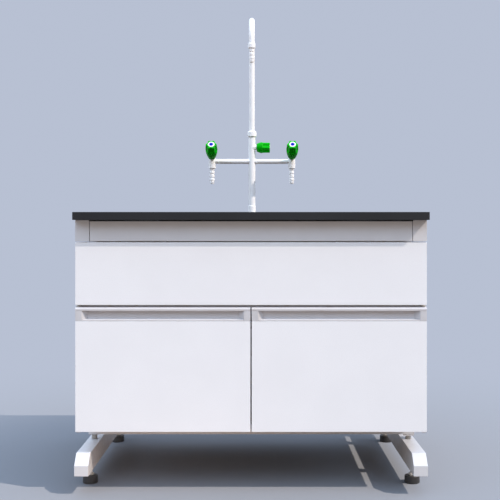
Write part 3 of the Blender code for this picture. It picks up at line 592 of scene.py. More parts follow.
def weld_bead(name, low, high, z):
    """A rippled bead of weld all round an upright where it meets another tube."""
    corners = [(low.x, low.y), (high.x, low.y), (high.x, high.y), (low.x, high.y)]
    outline = rounded(corners, TUBE_CORNER, 8)
    lengths = [0.0]
    for a, b in zip(outline, outline[1:] + outline[:1]):
        lengths.append(lengths[-1] + math.dist(a, b))
    rings = []
    for k in range(WELD_STATIONS):
        reach = lengths[-1] * k / WELD_STATIONS
        i = max(n for n, length in enumerate(lengths[:-1]) if length <= reach)
        share = (reach - lengths[i]) / (lengths[i + 1] - lengths[i])
        a, b = Vector(outline[i]), Vector(outline[(i + 1) % len(outline)])
        point = a.lerp(b, share)
        out = Vector(((b - a).y, -(b - a).x)).normalized()
        size = WELD_RADIUS * (1 + WELD_RIPPLE * math.sin(reach / WELD_PITCH * math.tau))
        ring = []
        for n in range(WELD_SIDES):
            angle = math.tau * n / WELD_SIDES
            spot = point + out * (size * 0.5 * math.cos(angle))
            ring.append((spot.x, spot.y, z + size * math.sin(angle)))
        rings.append(ring)
    piece(name, loft(rings, closed=True), PAINT, BENCH, weighted=False)


# Levelling feet and glides

def build_feet():
    for end in ENDS:
        for side in SIDES:
            build_leveller(end, side)
            build_glide(end, side)


def build_leveller(end, side):
    node = f"leveller_pad_{end}_{side}"
    low, high = box_of(node)
    centre = (low + high) / 2
    centre.z = 0
    radius, height = (high.x - low.x) / 2 + PAD_FLARE, high.z
    seat = height - PAD_SOCKET_DEPTH
    profile = [(0, 0), (radius - 0.002, 0, 0.0008), (radius, 0.0018, 0.001), (radius, height * 0.3, 0.004),
               (radius - 0.0007, height - 0.0008, 0.0026), (PAD_SOCKET + 0.005, height, 0.002),
               (PAD_SOCKET, height - 0.0006, 0.0004), (PAD_SOCKET, seat), (0, seat)]
    pad = revolved(profile, centre, 5)
    piece(f"{node}_rubber", pad, RUBBER, f"{end}_{side}_pad", node)

    stem_node = f"leveller_stem_{end}_{side}"
    low, high = box_of(stem_node)
    body = f"{end}_{side}_stem"
    hex_low = height + FIT
    hex_high = hex_low + HEX_HEIGHT
    root = rod(STEM_ROOT, low.z, hex_low + 0.001, centre, 32)
    crown = [(0, hex_low - 0.001), (0.0102, hex_low - 0.001), (0.0112, hex_low + 0.001),
             (0.0112, hex_high - 0.0012), (0.0098, hex_high + 0.0001), (0, hex_high + 0.0001)]
    nut = merged(rod(HEX_RADIUS, hex_low, hex_high, centre, 6), within=[turned(crown, centre)])
    screw = threaded(*STEM_THREAD, hex_high - 0.002, high.z, centre)
    piece(f"{stem_node}_screw", merged(screw, nut, root), ZINC, body, stem_node, weighted=False)


def build_glide(end, side):
    """A short adjustable foot under a base rail: a plate against the rail and a round stub on the bar."""
    node = f"glide_{end}_{side}"
    low, high = box_of(node)
    centre = (low + high) / 2
    seat = high.z - GLIDE_PLATE[side]
    plate = block((low.x, low.y, seat), high, GLIDE_PLATE[side] * 0.2)
    foot, step = STUB_FOOT[0], low.z + STUB_FOOT[1]
    stub = [(0, low.z), (foot, low.z, 0.0008), (foot, step, 0.0005), (STUB_RADIUS, step, 0.0004),
            (STUB_RADIUS, seat - 0.0002), (0, seat - 0.0002)]
    piece(f"{node}_plate", plate, PAINT, BENCH, node)
    # The stub takes the darker zinc copy, which paints the shade under the plate onto it.
    piece(f"{node}_stub", revolved(stub, (centre.x, centre.y, 0)), STUB_SHADE_ZINC, BENCH, node)


# Cabinet

def build_cabinet():
    for node in ("bottom_panel", "front_panel", "mid_rail"):
        piece(f"{node}_board", block(*box_of(node), BOARD_EDGE), BOARD, BENCH, node)
    build_back()
    for side, sign in SIDES.items():
        build_side(side)
        build_door(side, sign)
        for end in ("lower", "upper"):
            build_pivot(side, end)


def build_back():
    low, high = box_of("back_panel")
    pipe_low, pipe_high = box_of("trap_outlet")
    hole_centre = ((pipe_low.x + pipe_high.x) / 2, 0, (pipe_low.z + pipe_high.z) / 2)
    hole = rod((pipe_high.x - pipe_low.x) / 2 + FIT, low.y - 0.02, high.y + 0.02, hole_centre, turn=ALONG_Y)
    shape = merged(block(low, high), cut=[hole])
    piece("back_panel_board", soften(shape, CUT_EDGE, 2), BOARD, BENCH, "back_panel")


def build_side(side):
    low, high = box_of(f"side_panel_{side}")
    cutters = []
    for end in ("lower", "upper"):
        a, b = box_of(f"door_pivot_{end}_{side}")
        cutters.append(block((a.x - FIT, low.y - 0.02, a.z - FIT), b + Vector((FIT, FIT, FIT))))
    shape = merged(block(low, high), cut=cutters)
    soften(shape, CUT_EDGE, 2)
    piece(f"side_panel_{side}_board", shape, BOARD, BENCH, f"side_panel_{side}")


def build_pivot(side, end):
    """A pivot bracket: flange with two countersunk screws, rounded leaf and pin."""
    node = f"door_pivot_{end}_{side}"
    low, high = box_of(node)
    x = (low.x + high.x) / 2
    reach = (high.x - low.x) / 2
    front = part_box(f"side_panel_{side}")[0].y
    pivot_y = low.y + reach
    leaf_seat, leaf_thick, pin_radius, nose = 0.003, 0.0012, 0.003, 0.0045
    foot, up = (low.z, 1) if end == "lower" else (high.z, -1)
    under = leaf_seat - leaf_thick
    leaf = sorted((foot + up * under, foot + up * leaf_seat))
    pin = sorted((foot + up * (under + 0.0004), foot + up * PIVOT_PIN))
    flange = block((low.x, front, low.z), high, 0.0004, 2)
    outline = [(x + reach, high.y - 0.0012), (x - reach, high.y - 0.0012)]
    for step in range(25):
        a = math.pi * (1 + step / 24)
        outline.append((x + reach * math.cos(a), pivot_y + nose * math.sin(a)))
    plate = soften(prism(outline, "Z", *leaf), 0.0002, 2)
    post = rod(pin_radius, *pin, (x, pivot_y, 0), 32, edge=0.0005)
    shape = merged(flange, plate, post)
    piece(f"{node}_bracket", shape, ZINC, BENCH, node)
    for number, rise in enumerate(PIVOT_SCREWS):
        screw_head(f"pivot_screw_{end}_{side}_{number}", (x, front, foot + up * rise))


def screw_head(name, spot):
    """A flush countersunk head with a cross recess, seen from the front."""
    turn = towards((0, -1, 0))
    profile = [(0, -0.0018), (SCREW_RADIUS * 0.5, -0.0018), (SCREW_RADIUS, 0.0),
               (SCREW_RADIUS * 0.97, 0.00035, 0.0002), (0, 0.0005)]
    head = revolved(profile, spot, 3, turn, 40)
    slots = []
    for a, b in (SCREW_SLOT[::-1], SCREW_SLOT):
        slots.append(place(block((-a, -b, -0.0009), (a, b, 0.002)), spot, turn))
    piece(name, merged(head, cut=slots), ZINC, BENCH)


def build_door(side, sign):
    """A door board, the recessed grip profile along its top and the two end caps of the recess."""
    body = f"{side}_door"
    node = f"door_{side}"
    low, high = box_of(node)
    pivot_low, pivot_high = box_of(f"door_pivot_lower_{side}")
    pivot = ((pivot_low.x + pivot_high.x) / 2, pivot_low.y + (pivot_high.x - pivot_low.x) / 2, 0)
    hole = rod(PIN_HOLE, low.z - 0.01, low.z + PIN_DEPTH, pivot, 32)
    shape = merged(block(low, high), cut=[hole])
    piece(f"{node}_board", soften(shape, BOARD_EDGE), BOARD, body, node)

    build_handle(side, sign, body, pivot)


def build_handle(side, sign, body, pivot):
    """The grip: a profile whose top runs the full width of the door, over a moulded cap at each end."""
    node = f"handle_{side}"
    low, high = box_of(node)
    front, back = low.y, high.y
    recess_low, recess_top = low.z + GRIP_LIP, high.z - GRIP_TOP
    outline = [(front, high.z - GRIP_CHAMFER, 0.0006), (front + GRIP_CHAMFER, high.z, 0.0010),
               (back, high.z, 0.0006), (back, low.z, 0.0006), (front, low.z, 0.0012),
               (front, recess_low, 0.0010), (front + GRIP_DEPTH, recess_low + GRIP_RISE, 0.004),
               (front + GRIP_DEPTH, recess_top, 0.003), (front, recess_top, 0.0008)]
    profile = prism(rounded(outline, 0, 4), "X", low.x, high.x)
    pin = rod(PIN_HOLE, high.z - PIN_DEPTH, high.z + 0.01, pivot, 32)
    cutters = [pin]
    for edge, inward in ((low.x, 1), (high.x, -1)):
        ends = sorted((edge - inward * CAP_WIDTH, edge + inward * (CAP_WIDTH + FIT)))
        top = recess_top + CAP_REVEAL / 2
        cutters.append(block((ends[0], front - 0.02, low.z - 0.02), (ends[1], back + 0.02, top)))
    piece(f"{node}_profile", merged(profile, cut=cutters), PROFILE, body, node)
    for end in ("outer", "inner"):
        build_cap(side, end, sign if end == "inner" else -sign, body, pivot)


def build_cap(side, end, inward, body, pivot):
    """An end cap whose inner wall runs in towards the back of the grip."""
    node = f"handle_cap_{end}_{side}"
    low, high = box_of(node)
    edge = low.x if inward > 0 else high.x
    face = edge + inward * CAP_WIDTH
    ends = sorted((edge, face))
    shape = block((ends[0], low.y, low.z), (ends[1], high.y, high.z), PLASTIC_EDGE)
    wedge = bmesh.new()
    front, back = low.y + PLASTIC_EDGE, low.y + GRIP_DEPTH - FIT
    root, tip = face - inward * CAP_WIDTH / 2, face + inward * CAP_SLOPE
    for x, y in ((root, front), (face - inward * 0.0002, front), (tip, back), (root, back)):
        floor = low.z + GRIP_LIP + FIT + GRIP_RISE * (y - low.y) / GRIP_DEPTH
        wedge.verts.new((x, y, floor))
        wedge.verts.new((x, y, high.z - 0.0001))
    bmesh.ops.convex_hull(wedge, input=wedge.verts)
    cutters = []
    if end == "outer":
        crown_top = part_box(f"handle_{side}")[1].z
        cutters.append(rod(PIN_HOLE, crown_top - PIN_DEPTH, crown_top, pivot, 32))
    piece(f"{node}_moulding", merged(shape, wedge, cut=cutters), CAP, body, node)


# Worktop, sink and waste

SINK_WIDTH = 0.500
SINK_LENGTH = 0.400
SINK_CORNER = 0.020
SINK_WALL = 0.004
SINK_RIM = 0.022
SINK_EDGE = 0.0008
WORKTOP_EDGE = 0.0009
TAP_HOLE = 0.0103  # radius
COUPLING_EDGE = 0.0012
COUPLING_RIB = 0.0012
TRAP_RADIUS = 0.033
TRAP_NECK = 0.027
PIPE_WALL = 0.003


def corner_ring(width, length, radius, centre_y, height, steps=10):
    """A rounded rectangle, centred on X, as points at one height."""
    points = []
    for quarter in range(4):
        right = 1 if quarter in (0, 3) else -1
        back = 1 if quarter in (0, 1) else -1
        x = right * (width / 2 - radius)
        y = centre_y + back * (length / 2 - radius)
        for step in range(steps + 1):
            a = math.pi / 2 * (quarter + step / steps)
            points.append((x + radius * math.cos(a), y + radius * math.sin(a), height))
    return points


def build_worktop():
    low, high = box_of("worktop")
    sink_y = middle("sink_bowl").y
    tap = middle("tap_lock_nut")
    hole = [point[:2] for point in corner_ring(SINK_WIDTH, SINK_LENGTH, SINK_CORNER, sink_y, 0)]
    cutters = [prism(hole, "Z", low.z - 0.01, high.z + 0.01),
               rod(TAP_HOLE, low.z - 0.01, high.z + 0.01, (tap.x, tap.y, 0))]
    shape = merged(block(low, high), cut=cutters)
    soften(shape, WORKTOP_EDGE, 3, sharp_edges(shape, math.radians(60)))
    piece("worktop_slab", shape, RESIN, BENCH, "worktop")


def build_sink():
    low, high = box_of("sink_bowl")
    centre_y = (low.y + high.y) / 2
    floor = low.z + SINK_WALL
    bottom_radius, draft, hole = 0.024, 0.004, 0.0233
    rim_under = high.z - SINK_WALL

    def ring(inset, height):
        radius = max(SINK_CORNER - inset * 0.6, 0.012)
        return corner_ring(SINK_WIDTH - 2 * inset, SINK_LENGTH - 2 * inset, radius, centre_y, height)

    def bowl(offset):
        """The rings of one skin of the bowl from the top down, moved out by an offset."""
        top = rim_under if offset else high.z
        rings = [ring(-offset, top)]
        bend = bottom_radius + offset
        for step in range(9):
            a = math.pi / 2 * step / 8
            inset = draft - offset + bend * (1 - math.cos(a))
            rings.append(ring(inset, floor - offset + bend * (1 - math.sin(a))))
        rings.append(corner_ring(2 * hole, 2 * hole, hole * 0.98, centre_y, floor - offset))
        return rings

    rim = [ring(-SINK_RIM, rim_under), ring(-SINK_RIM, high.z)]
    shape = loft(bowl(0) + bowl(SINK_WALL)[::-1] + rim, closed=True)
    soften(shape, SINK_EDGE, 2, sharp_edges(shape, math.radians(50)))
    piece("sink_bowl_moulding", shape, SINK, BENCH, "sink_bowl")


def build_waste():
    low, high = box_of("sink_waste")
    x, y = (low.x + high.x) / 2, (low.y + high.y) / 2
    bore, tail, flange = 0.019, 0.023, (high.x - low.x) / 2
    plate = high.z - 0.003
    profile = [(bore, high.z - 0.0022, 0.0006), (bore, low.z, 0.0004), (tail, low.z, 0.0004),
               (tail, plate, 0.0004), (flange, plate, 0.0004), (flange - 0.001, plate + 0.0014, 0.001),
               (flange - 0.007, high.z, 0.002), (bore + 0.004, high.z - 0.0008, 0.002)]
    shape = sleeve(profile, (x, y, 0))
    bars = []
    for k in range(3):
        bar = block((-bore - 0.001, -0.0012, plate - 0.004), (bore + 0.001, 0.0012, plate - 0.001))
        bars.append(place(bar, (x, y, 0), Matrix.Rotation(math.pi * k / 3, 3, "Z")))
    piece("sink_waste_fitting", merged(shape, *bars), CHROME, BENCH, "sink_waste")

    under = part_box("sink_bowl")[0].z
    lock = place(coupling(0.034, 0.0236, under - 0.0125, under - 0.0005), (x, y, 0))
    piece("sink_waste_back_nut", lock, WASTE, BENCH)


def coupling(outer, inner, low, high, ribs=24):
    """A moulded coupling ring with finger ribs, round +Z."""
    edge, rim = COUPLING_EDGE, outer - COUPLING_RIB

    def ring(radius, height, depth=0.0):
        return waved(ribs * 4, radius, height, depth, ribs)

    rings = [ring(inner, low), ring(rim - edge, low), ring(rim, low + edge)]
    rings += [ring(rim, low + 1.5 * edge, COUPLING_RIB), ring(rim, high - 1.5 * edge, COUPLING_RIB)]
    rings += [ring(rim, high - edge), ring(rim - edge, high), ring(inner, high)]
    return loft(rings, closed=True)


def build_trap():
    low, high = box_of("bottle_trap")
    pipe_low, pipe_high = box_of("trap_outlet")
    x, y = (low.x + high.x) / 2, low.y + TRAP_RADIUS
    shoulder = high.z - 0.020
    bottle = [(0, low.z), (TRAP_RADIUS - 0.004, low.z, 0.006), (TRAP_RADIUS, low.z + 0.010, 0.004),
              (TRAP_RADIUS, shoulder, 0.004), (TRAP_NECK, shoulder + 0.004, 0.002),
              (TRAP_NECK, high.z, 0.0008), (0, high.z)]
    axis = ((pipe_low.x + pipe_high.x) / 2, 0, (pipe_low.z + pipe_high.z) / 2)
    boss = rod(0.023, y, high.y, axis, turn=ALONG_Y, edge=0.0008)
    shape = merged(revolved(bottle, (x, y, 0), 5), boss)
    piece("bottle_trap_body", shape, WASTE, BENCH, "bottle_trap")

    inlet = place(coupling(0.0305, 0.0272, high.z - 0.016, high.z - 0.001), (x, y, 0))
    cup = place(coupling(0.0365, 0.0332, low.z + 0.030, low.z + 0.044), (x, y, 0))
    outlet = place(coupling(0.0275, 0.0232, high.y - 0.0135, high.y - 0.0005), axis, ALONG_Y)
    for name, nut in (("trap_inlet_nut", inlet), ("trap_cup_ring", cup), ("trap_outlet_nut", outlet)):
        piece(name, nut, WASTE, BENCH)

    outer = (pipe_high.x - pipe_low.x) / 2
    bore = outer - PIPE_WALL
    corners = ((bore, pipe_low.y), (outer, pipe_low.y), (outer, pipe_high.y), (bore, pipe_high.y))
    pipe = sleeve([(*corner, 0.0006) for corner in corners], axis, 3, ALONG_Y)
    piece("trap_outlet_pipe", pipe, WASTE, BENCH, "trap_outlet")
    wall_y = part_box("back_panel")[0].y
    rose = [(outer + 0.0004, wall_y - 0.0065, 0.0008), (outer + 0.0035, wall_y - 0.0065, 0.002),
            (outer + 0.013, wall_y - 0.0002, 0.0004), (outer + 0.0004, wall_y - 0.0002, 0.0002)]
    piece("trap_outlet_rose", sleeve(rose, axis, 4, ALONG_Y), WASTE, BENCH)


# Tap

TAP_Y = middle("tap_lock_nut").y
TOP_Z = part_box("worktop")[1].z
ARM_Z = TOP_Z + 0.1937
VALVE_X = 0.1395
KNOB_TILT = math.radians(34.5)
KNOB_AXIS = Vector((0, -math.cos(KNOB_TILT), math.sin(KNOB_TILT)))
KNOB_BACK = 0.024  # valve axis to the back of a side knob
TOP_KNOB = Vector((0.0168, TAP_Y, TOP_Z + 0.2422))
# Length of a knob, radii of its small end and its grip, place of a flute
SIDE_KNOB_SIZE = (0.0686, 0.0124, 0.0207, math.radians(90))
TOP_KNOB_SIZE = (0.046, 0.01375, 0.0194, math.radians(10))
KNOB_FACE = 0.0189  # radius
KNOB_GRIP = 0.0285
KNOB_RUN_OUT = 0.006
KNOB_FLUTES = 6
KNOB_FLUTE_DEPTH = 0.0038
KNOB_EDGE = 0.0016
KNOB_SWELL = 0.041  # of the cone's length
SPINDLE = 0.004
SPINDLE_ENTRY = 0.010
INDEX_RADIUS = 0.0114
INDEX_SEAT = 0.0014
DOT_RADIUS = 0.0066
BARB_PITCH = 0.0126
HOSE_BARBS = (4, 0.0075)  # count, and root of the nozzle to the first groove
SPOUT_BARBS = (3, 0.0135)
SPOUT_COLLAR = (0.0124, 0.0165)  # radius, height
BARB_DEPTH = 0.0016
NOZZLE_RADIUS = 0.0086
NOZZLE_TIP = 0.0064
NOZZLE_BORE = 0.00275
TAP_BASE = 0.024  # radii of the column, from the worktop up
TAP_SOCKET = 0.01325
TAP_COLUMN = 0.012
SHANK = 0.0098
SHANK_THREAD = (0.010, 0.0015, 0.0008)  # radius, pitch, depth
CROSS = (0.00975, 0.0165)  # radius, half its length
ARM_RADIUS = 0.0084
ARM_START = 0.0168  # from the column's axis
VALVE_RADIUS = 0.0125
VALVE_REACH = (-0.0247, 0.0143)  # below and above the arm
NECK_GAP = 0.0008  # between a neck and its knob
NECK_RADIUS = {"top": 0.0085, "side": 0.0066}
SPOUT_WALL = 0.002


def build_tap():
    build_column()
    for side, sign in SIDES.items():
        build_valve(side, sign)
        valve = Vector((sign * VALVE_X, TAP_Y, ARM_Z))
        build_knob(side, valve + KNOB_AXIS * KNOB_BACK, KNOB_AXIS, SIDE_KNOB_SIZE)
    build_knob("top", TOP_KNOB, (1, 0, 0), TOP_KNOB_SIZE)
    build_spout()


def build_column():
    low, high = box_of("tap_column")
    centre = (0, TAP_Y, 0)
    profile = [(0, TOP_Z - 0.004), (SHANK, TOP_Z - 0.004), (SHANK, TOP_Z + FIT),
               (TAP_BASE, TOP_Z + FIT, 0.0004), (TAP_BASE, TOP_Z + 0.0035, 0.0018),
               (0.0150, TOP_Z + 0.0078, 0.004), (TAP_SOCKET, TOP_Z + 0.013, 0.003),
               (TAP_SOCKET, TOP_Z + 0.0370, 0.0008), (TAP_COLUMN, TOP_Z + 0.0390, 0.0010),
               (TAP_COLUMN, high.z, 0.0006), (0, high.z)]
    post = revolved(profile, centre, 5)
    thread = threaded(*SHANK_THREAD, low.z, TOP_Z - 0.002, centre, 40)
    cross = rod(CROSS[0], -CROSS[1], CROSS[1], (0, TAP_Y, ARM_Z), turn=ALONG_X, edge=0.0010)
    neck = [(0, 0), (0.0125, 0), (0.0125, 0.0125, 0.001), (NECK_RADIUS["top"], 0.0140, 0.0008)]
    neck += spindle(NECK_RADIUS["top"], TOP_KNOB.x, 0.0004)
    bonnet = revolved(neck, (0, TAP_Y, TOP_KNOB.z), turn=ALONG_X)
    piece("tap_column_casting", merged(post, thread, cross, bonnet), ENAMEL, BENCH, "tap_column")

    nut_low, nut_high = box_of("tap_lock_nut")
    radius = (nut_high.x - nut_low.x) / 2
    nut = rod(radius, nut_low.z, nut_high.z, centre, 6)
    crown = turned([(0, nut_low.z - 0.001), (radius - 0.0022, nut_low.z - 0.001),
                    (radius + 0.001, nut_low.z + 0.0022), (radius + 0.001, nut_high.z + 0.001),
                    (0, nut_high.z + 0.001)], centre)
    bore = rod(TAP_HOLE, nut_low.z - 0.01, nut_high.z + 0.01, centre)
    shape = merged(nut, cut=[bore], within=[crown])
    piece("tap_lock_nut_hex", shape, BRASS, BENCH, "tap_lock_nut")


def spindle(neck, reach, edge):
    """The end of a neck's profile: its face under a knob and the spindle that enters the knob."""
    face, tip = reach - NECK_GAP, reach + SPINDLE_ENTRY
    return [(neck, face, edge), (SPINDLE, face, 0.0003), (SPINDLE, tip, 0.0005), (0, tip)]


def build_valve(side, sign):
    """A side valve: upright body, the arm back to the column and the neck under its knob."""
    centre = Vector((sign * VALVE_X, TAP_Y, ARM_Z))
    low, high = VALVE_REACH
    body = [(0, low), (VALVE_RADIUS, low, 0.0012), (VALVE_RADIUS, high, 0.005), (0, high)]
    shape = revolved(body, centre, 6)
    arm = rod(ARM_RADIUS, *sorted((-sign * (VALVE_X - ARM_START), 0)), centre, turn=ALONG_X, edge=0.0006)
    neck = [(0, 0), (NECK_RADIUS["side"], 0)] + spindle(NECK_RADIUS["side"], KNOB_BACK, 0.0006)
    bonnet = revolved(neck, centre, turn=towards(KNOB_AXIS))
    piece(f"valve_{side}_casting", merged(shape, arm, bonnet), ENAMEL, BENCH, f"valve_{side}")
    nozzle(f"hose_nozzle_{side}", BENCH, HOSE_BARBS)


def nozzle(node, body, grooves, collar=None):
    """A serrated hose nozzle that hangs from a fitting, with a collar over its root where it has one."""
    low, high = box_of(node)
    centre = ((low.x + high.x) / 2, (low.y + high.y) / 2, 0)
    top = high.z - (collar[1] if collar else 0)
    count, first = grooves
    wide, narrow = NOZZLE_RADIUS, NOZZLE_RADIUS - BARB_DEPTH
    profile = []
    if collar:
        ring = collar[0]
        profile += [(ring - 0.002, high.z, 0.0008), (ring, high.z - 0.002, 0.0010), (ring, top, 0.0008)]
    profile.append((wide, top, 0))
    for i in range(count):
        groove = top - first - BARB_PITCH * i
        profile += [(wide, groove + BARB_PITCH * 0.2, 0.0009), (narrow, groove + BARB_PITCH * 0.05, 0.0006),
                    (narrow, groove - BARB_PITCH * 0.12, 0.0004), (wide, groove - BARB_PITCH * 0.2, 0.0006)]
    profile += [(wide - 0.0006, low.z + BARB_PITCH * 0.45, 0.003), (NOZZLE_TIP, low.z, 0.0008),
                (NOZZLE_BORE, low.z, 0.0005), (NOZZLE_BORE, high.z, 0)]
    shape = sleeve(profile, centre, 3)
    piece(f"{node}_turned", shape, ENAMEL, body, node)


def build_knob(name, root, direction, size):
    """A green knob: a cone that swells into a fluted grip, with its index disc let into the end."""
    length, small, wide, flute_place = size
    cone = length - KNOB_GRIP
    grip = cone + KNOB_RUN_OUT
    stations = [(0, small - 0.0006, 0), (0.0006, small, 0)]
    for k in range(1, 11):
        share = k / 10
        swell = KNOB_SWELL * cone * math.sin(share * math.pi)
        stations.append((cone * share, small + (wide - small) * share + swell, 0))
    for k in range(1, 9):
        share = k / 8
        stations.append((cone + KNOB_RUN_OUT * share, wide, share * share * (3 - 2 * share)))
    for k in range(1, 7):
        share = k / 6
        stations.append((grip + (length - KNOB_EDGE - grip) * share, wide + (KNOB_FACE - wide) * share, 1))
    for k in range(1, 6):
        a = math.pi / 2 * k / 5
        radius = KNOB_FACE - KNOB_EDGE * (1 - math.cos(a))
        stations.append((length - KNOB_EDGE * (1 - math.sin(a)), radius, 1))

    def ring(height, radius, cut=0):
        return waved(FINE_ROUND, radius, height, -cut * KNOB_FLUTE_DEPTH, KNOB_FLUTES, flute_place)

    bore, seat = SPINDLE + FIT, INDEX_RADIUS + FIT
    rings = [ring(SPINDLE_ENTRY + FIT, bore), ring(0, bore)]
    rings += [ring(*station) for station in stations]
    rings += [ring(length, seat + 0.0004), ring(length - 0.0004, seat), ring(length - INDEX_SEAT, seat)]
    turn = towards(direction)
    body = f"{name}_knob"
    piece(f"knob_{name}_grip", place(loft(rings), root, turn), GREEN, body, f"knob_{name}")

    low, high = length - INDEX_SEAT + FIT, length + 0.0011
    well = DOT_RADIUS + FIT
    disc = [(0, low), (INDEX_RADIUS, low, 0.0003), (INDEX_RADIUS, high - 0.0004, 0.0009),
            (well + 0.0004, high, 0.0004), (well, high - 0.0006, 0.0002), (0, high - 0.0006)]
    shape = revolved(disc, root, turn=turn)
    piece(f"knob_index_{name}_disc", shape, INDEX, body, f"knob_index_{name}")
    dot = [(0, high - 0.0005), (DOT_RADIUS, high - 0.0005, 0.0002), (DOT_RADIUS, high + 0.0001, 0.0004),
           (0, high + 0.0004)]
    piece(f"knob_index_{name}_dot", revolved(dot, root, turn=turn), BLUE, body)


def build_spout():
    low, high = box_of("swivel_collar")
    inner, outer = 0.00995, (high.x - low.x) / 2
    collar = [(inner, low.z, 0.0003), (outer - 0.0015, low.z, 0.0008), (outer, low.z + 0.0015, 0.0008),
              (outer, high.z - 0.003, 0.002), (outer - 0.003, high.z, 0.002), (inner, high.z, 0.0004)]
    shape = sleeve(collar, (0, TAP_Y, 0), 5)
    piece("swivel_collar_nut", shape, ENAMEL, BENCH, "swivel_collar")

    low, high = box_of("gooseneck")
    tip_low, tip_high = box_of("spout_nozzle")
    radius = (high.x - low.x) / 2
    tip_y = (tip_low.y + tip_high.y) / 2
    bend = (TAP_Y - tip_y) / 2
    arc_z = high.z - bend - radius
    path = [(TAP_Y, low.z, 0), (TAP_Y, (low.z + arc_z) / 2, 0)]
    for step in range(49):
        a = math.pi * step / 48
        path.append((TAP_Y - bend + bend * math.cos(a), arc_z + bend * math.sin(a), a))
    path.append((tip_y, tip_high.z + FIT, math.pi))

    def ring(y, z, angle, size):
        points = []
        for i in range(40):
            a = math.tau * i / 40
            across, sideways = size * math.cos(a), size * math.sin(a)
            points.append((sideways, y + across * math.cos(angle), z + across * math.sin(angle)))
        return points

    rings = [ring(*spot, radius) for spot in path]
    rings += [ring(*spot, radius - SPOUT_WALL) for spot in reversed(path)]
    shape = loft(rings, closed=True)
    piece("gooseneck_tube", shape, ENAMEL, "spout", "gooseneck", weighted=False)
    nozzle("spout_nozzle", "spout", SPOUT_BARBS, SPOUT_COLLAR)


# Light, floor and camera

HORIZON = (0.36, 0.28, 0.22)  # soft light from all round, stronger from above
ZENITH_LEFT = (1.95, 2.35, 2.92)
ZENITH_RIGHT = (1.20, 1.46, 1.86)
SKY_RISE = (0.20, 0.62)  # heights between which it goes over
SKY_TURN = (-0.6, 0.6)  # and the same from left to right
SUN = (2.88, 2.50, 2.15)  # and a warm key from the upper right
SUN_WAY = Vector((-0.90, 0.445, -1.0))
SUN_ANGLE = math.radians(0.6)
BACKGROUND = (0.479, 0.530, 0.651)
FLOOR = (0.228, 0.242, 0.268)  # floor as it is seen
FLOOR_LEAN = 0.7  # how far it turns to the key
BOUNCE_LEFT = (0.78, 0.58, 0.44)  # floor in the light that it throws back under the bench
BOUNCE_RIGHT = (0.14, 0.12, 0.10)
BOUNCE_TURN = (-0.5, 0.5)  # places between which it goes over from left to right
BOUNCE_FAR = (0.215, 0.165, 0.125)  # and further away
BOUNCE_FADE = (0.45, 0.80)  # distances between which it goes over
FADE = (0.6, 2.4)  # distances between which the floor goes over into the background


def build_world():
    """Soft light from all round, in which the camera and reflections see the plain background instead."""
    world = bpy.data.worlds.new("studio")
    bpy.context.scene.world = world
    world.use_nodes = True
    nodes = Nodes(world.node_tree)
    way = nodes.add("ShaderNodeSeparateXYZ", {0: nodes.add("ShaderNodeTexCoord").outputs["Generated"]})
    above = nodes.mix(nodes.smooth(way.outputs["X"], SKY_TURN), ZENITH_LEFT, ZENITH_RIGHT)
    dome = nodes.mix(nodes.smooth(way.outputs["Z"], SKY_RISE), HORIZON, above)
    sky = nodes.tree.nodes["Background"]
    nodes.feed(sky, {"Color": dome})
    shown = nodes.add("ShaderNodeBackground", {"Color": (*BACKGROUND, 1)})
    path = nodes.add("ShaderNodeLightPath")
    seen = path.outputs["Is Camera Ray"]
    for ray in ("Is Glossy Ray", "Is Transmission Ray"):
        either = nodes.add("ShaderNodeMath", {0: seen, 1: path.outputs[ray]}, operation="MAXIMUM")
        seen = either.outputs["Value"]
    choice = nodes.choose(seen, sky.outputs["Background"], shown.outputs["Background"])
    nodes.feed(nodes.tree.nodes["World Output"], {"Surface": choice})


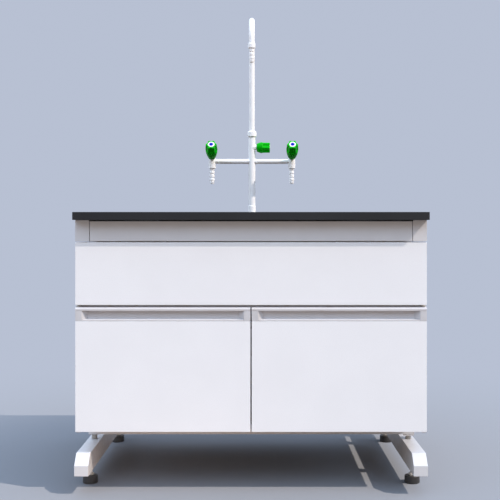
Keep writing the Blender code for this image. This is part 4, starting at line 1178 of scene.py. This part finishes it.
def make_floor():
    """A matt floor that runs out into the background. It leans to the key, so that its shadows are deep."""
    matt = bpy.data.materials.new("floor_matt")
    matt.use_nodes = True
    nodes = Nodes(matt.node_tree)
    lean = Vector((0, 0, 1)).lerp(-SUN_WAY.normalized(), FLOOR_LEAN).normalized()
    normal = nodes.add("ShaderNodeCombineXYZ", dict(zip("XYZ", lean))).outputs["Vector"]
    near = nodes.add("ShaderNodeBsdfDiffuse", {"Color": (*FLOOR, 1), "Normal": normal})
    far = nodes.add("ShaderNodeEmission", {"Color": (*BACKGROUND, 1)})
    spot = nodes.add("ShaderNodeTexCoord").outputs["Object"]
    reach = nodes.add("ShaderNodeVectorMath", {0: spot}, operation="LENGTH").outputs["Value"]
    shown = nodes.choose(nodes.smooth(reach, FADE), near.outputs["BSDF"], far.outputs["Emission"])
    across = nodes.add("ShaderNodeSeparateXYZ", {0: spot}).outputs["X"]
    thrown = nodes.mix(nodes.smooth(across, BOUNCE_TURN), BOUNCE_LEFT, BOUNCE_RIGHT)
    around = nodes.mix(nodes.smooth(reach, BOUNCE_FADE), thrown, BOUNCE_FAR)
    bounce = nodes.add("ShaderNodeBsdfDiffuse", {"Color": around})
    path = nodes.add("ShaderNodeLightPath")
    choice = nodes.choose(path.outputs["Is Diffuse Ray"], shown, bounce.outputs["BSDF"])
    nodes.feed(nodes.tree.nodes["Material Output"], {"Surface": choice})
    return matt


def build_stage():
    build_world()
    key = bpy.data.lights.new("key", "SUN")
    key.energy = SUN[0]
    key.color = tuple(channel / SUN[0] for channel in SUN)
    key.angle = SUN_ANGLE
    show("key", key).rotation_euler = SUN_WAY.to_track_quat("-Z", "Y").to_euler()
    bpy.ops.mesh.primitive_plane_add(size=400)
    floor = bpy.context.object
    floor.name = "floor"
    floor.data.materials.append(make_floor())


def build_camera():
    data = bpy.data.cameras.new("camera")
    data.sensor_width = SENSOR
    data.lens = SENSOR * FOCAL / PICTURE
    data.shift_x = (PICTURE / 2 - CENTRE_PX[0]) / PICTURE
    data.shift_y = (CENTRE_PX[1] - PICTURE / 2) / PICTURE
    data.clip_start, data.clip_end = 0.05, 200
    camera = show("camera", data)
    camera.location = CAMERA
    camera.rotation_euler = (math.pi / 2, 0, 0)
    bpy.context.scene.camera = camera


build_frame()
build_feet()
build_cabinet()
build_worktop()
build_sink()
build_waste()
build_trap()
build_tap()
build_stage()
build_camera()
bpy.context.scene.view_settings.view_transform = "Standard"
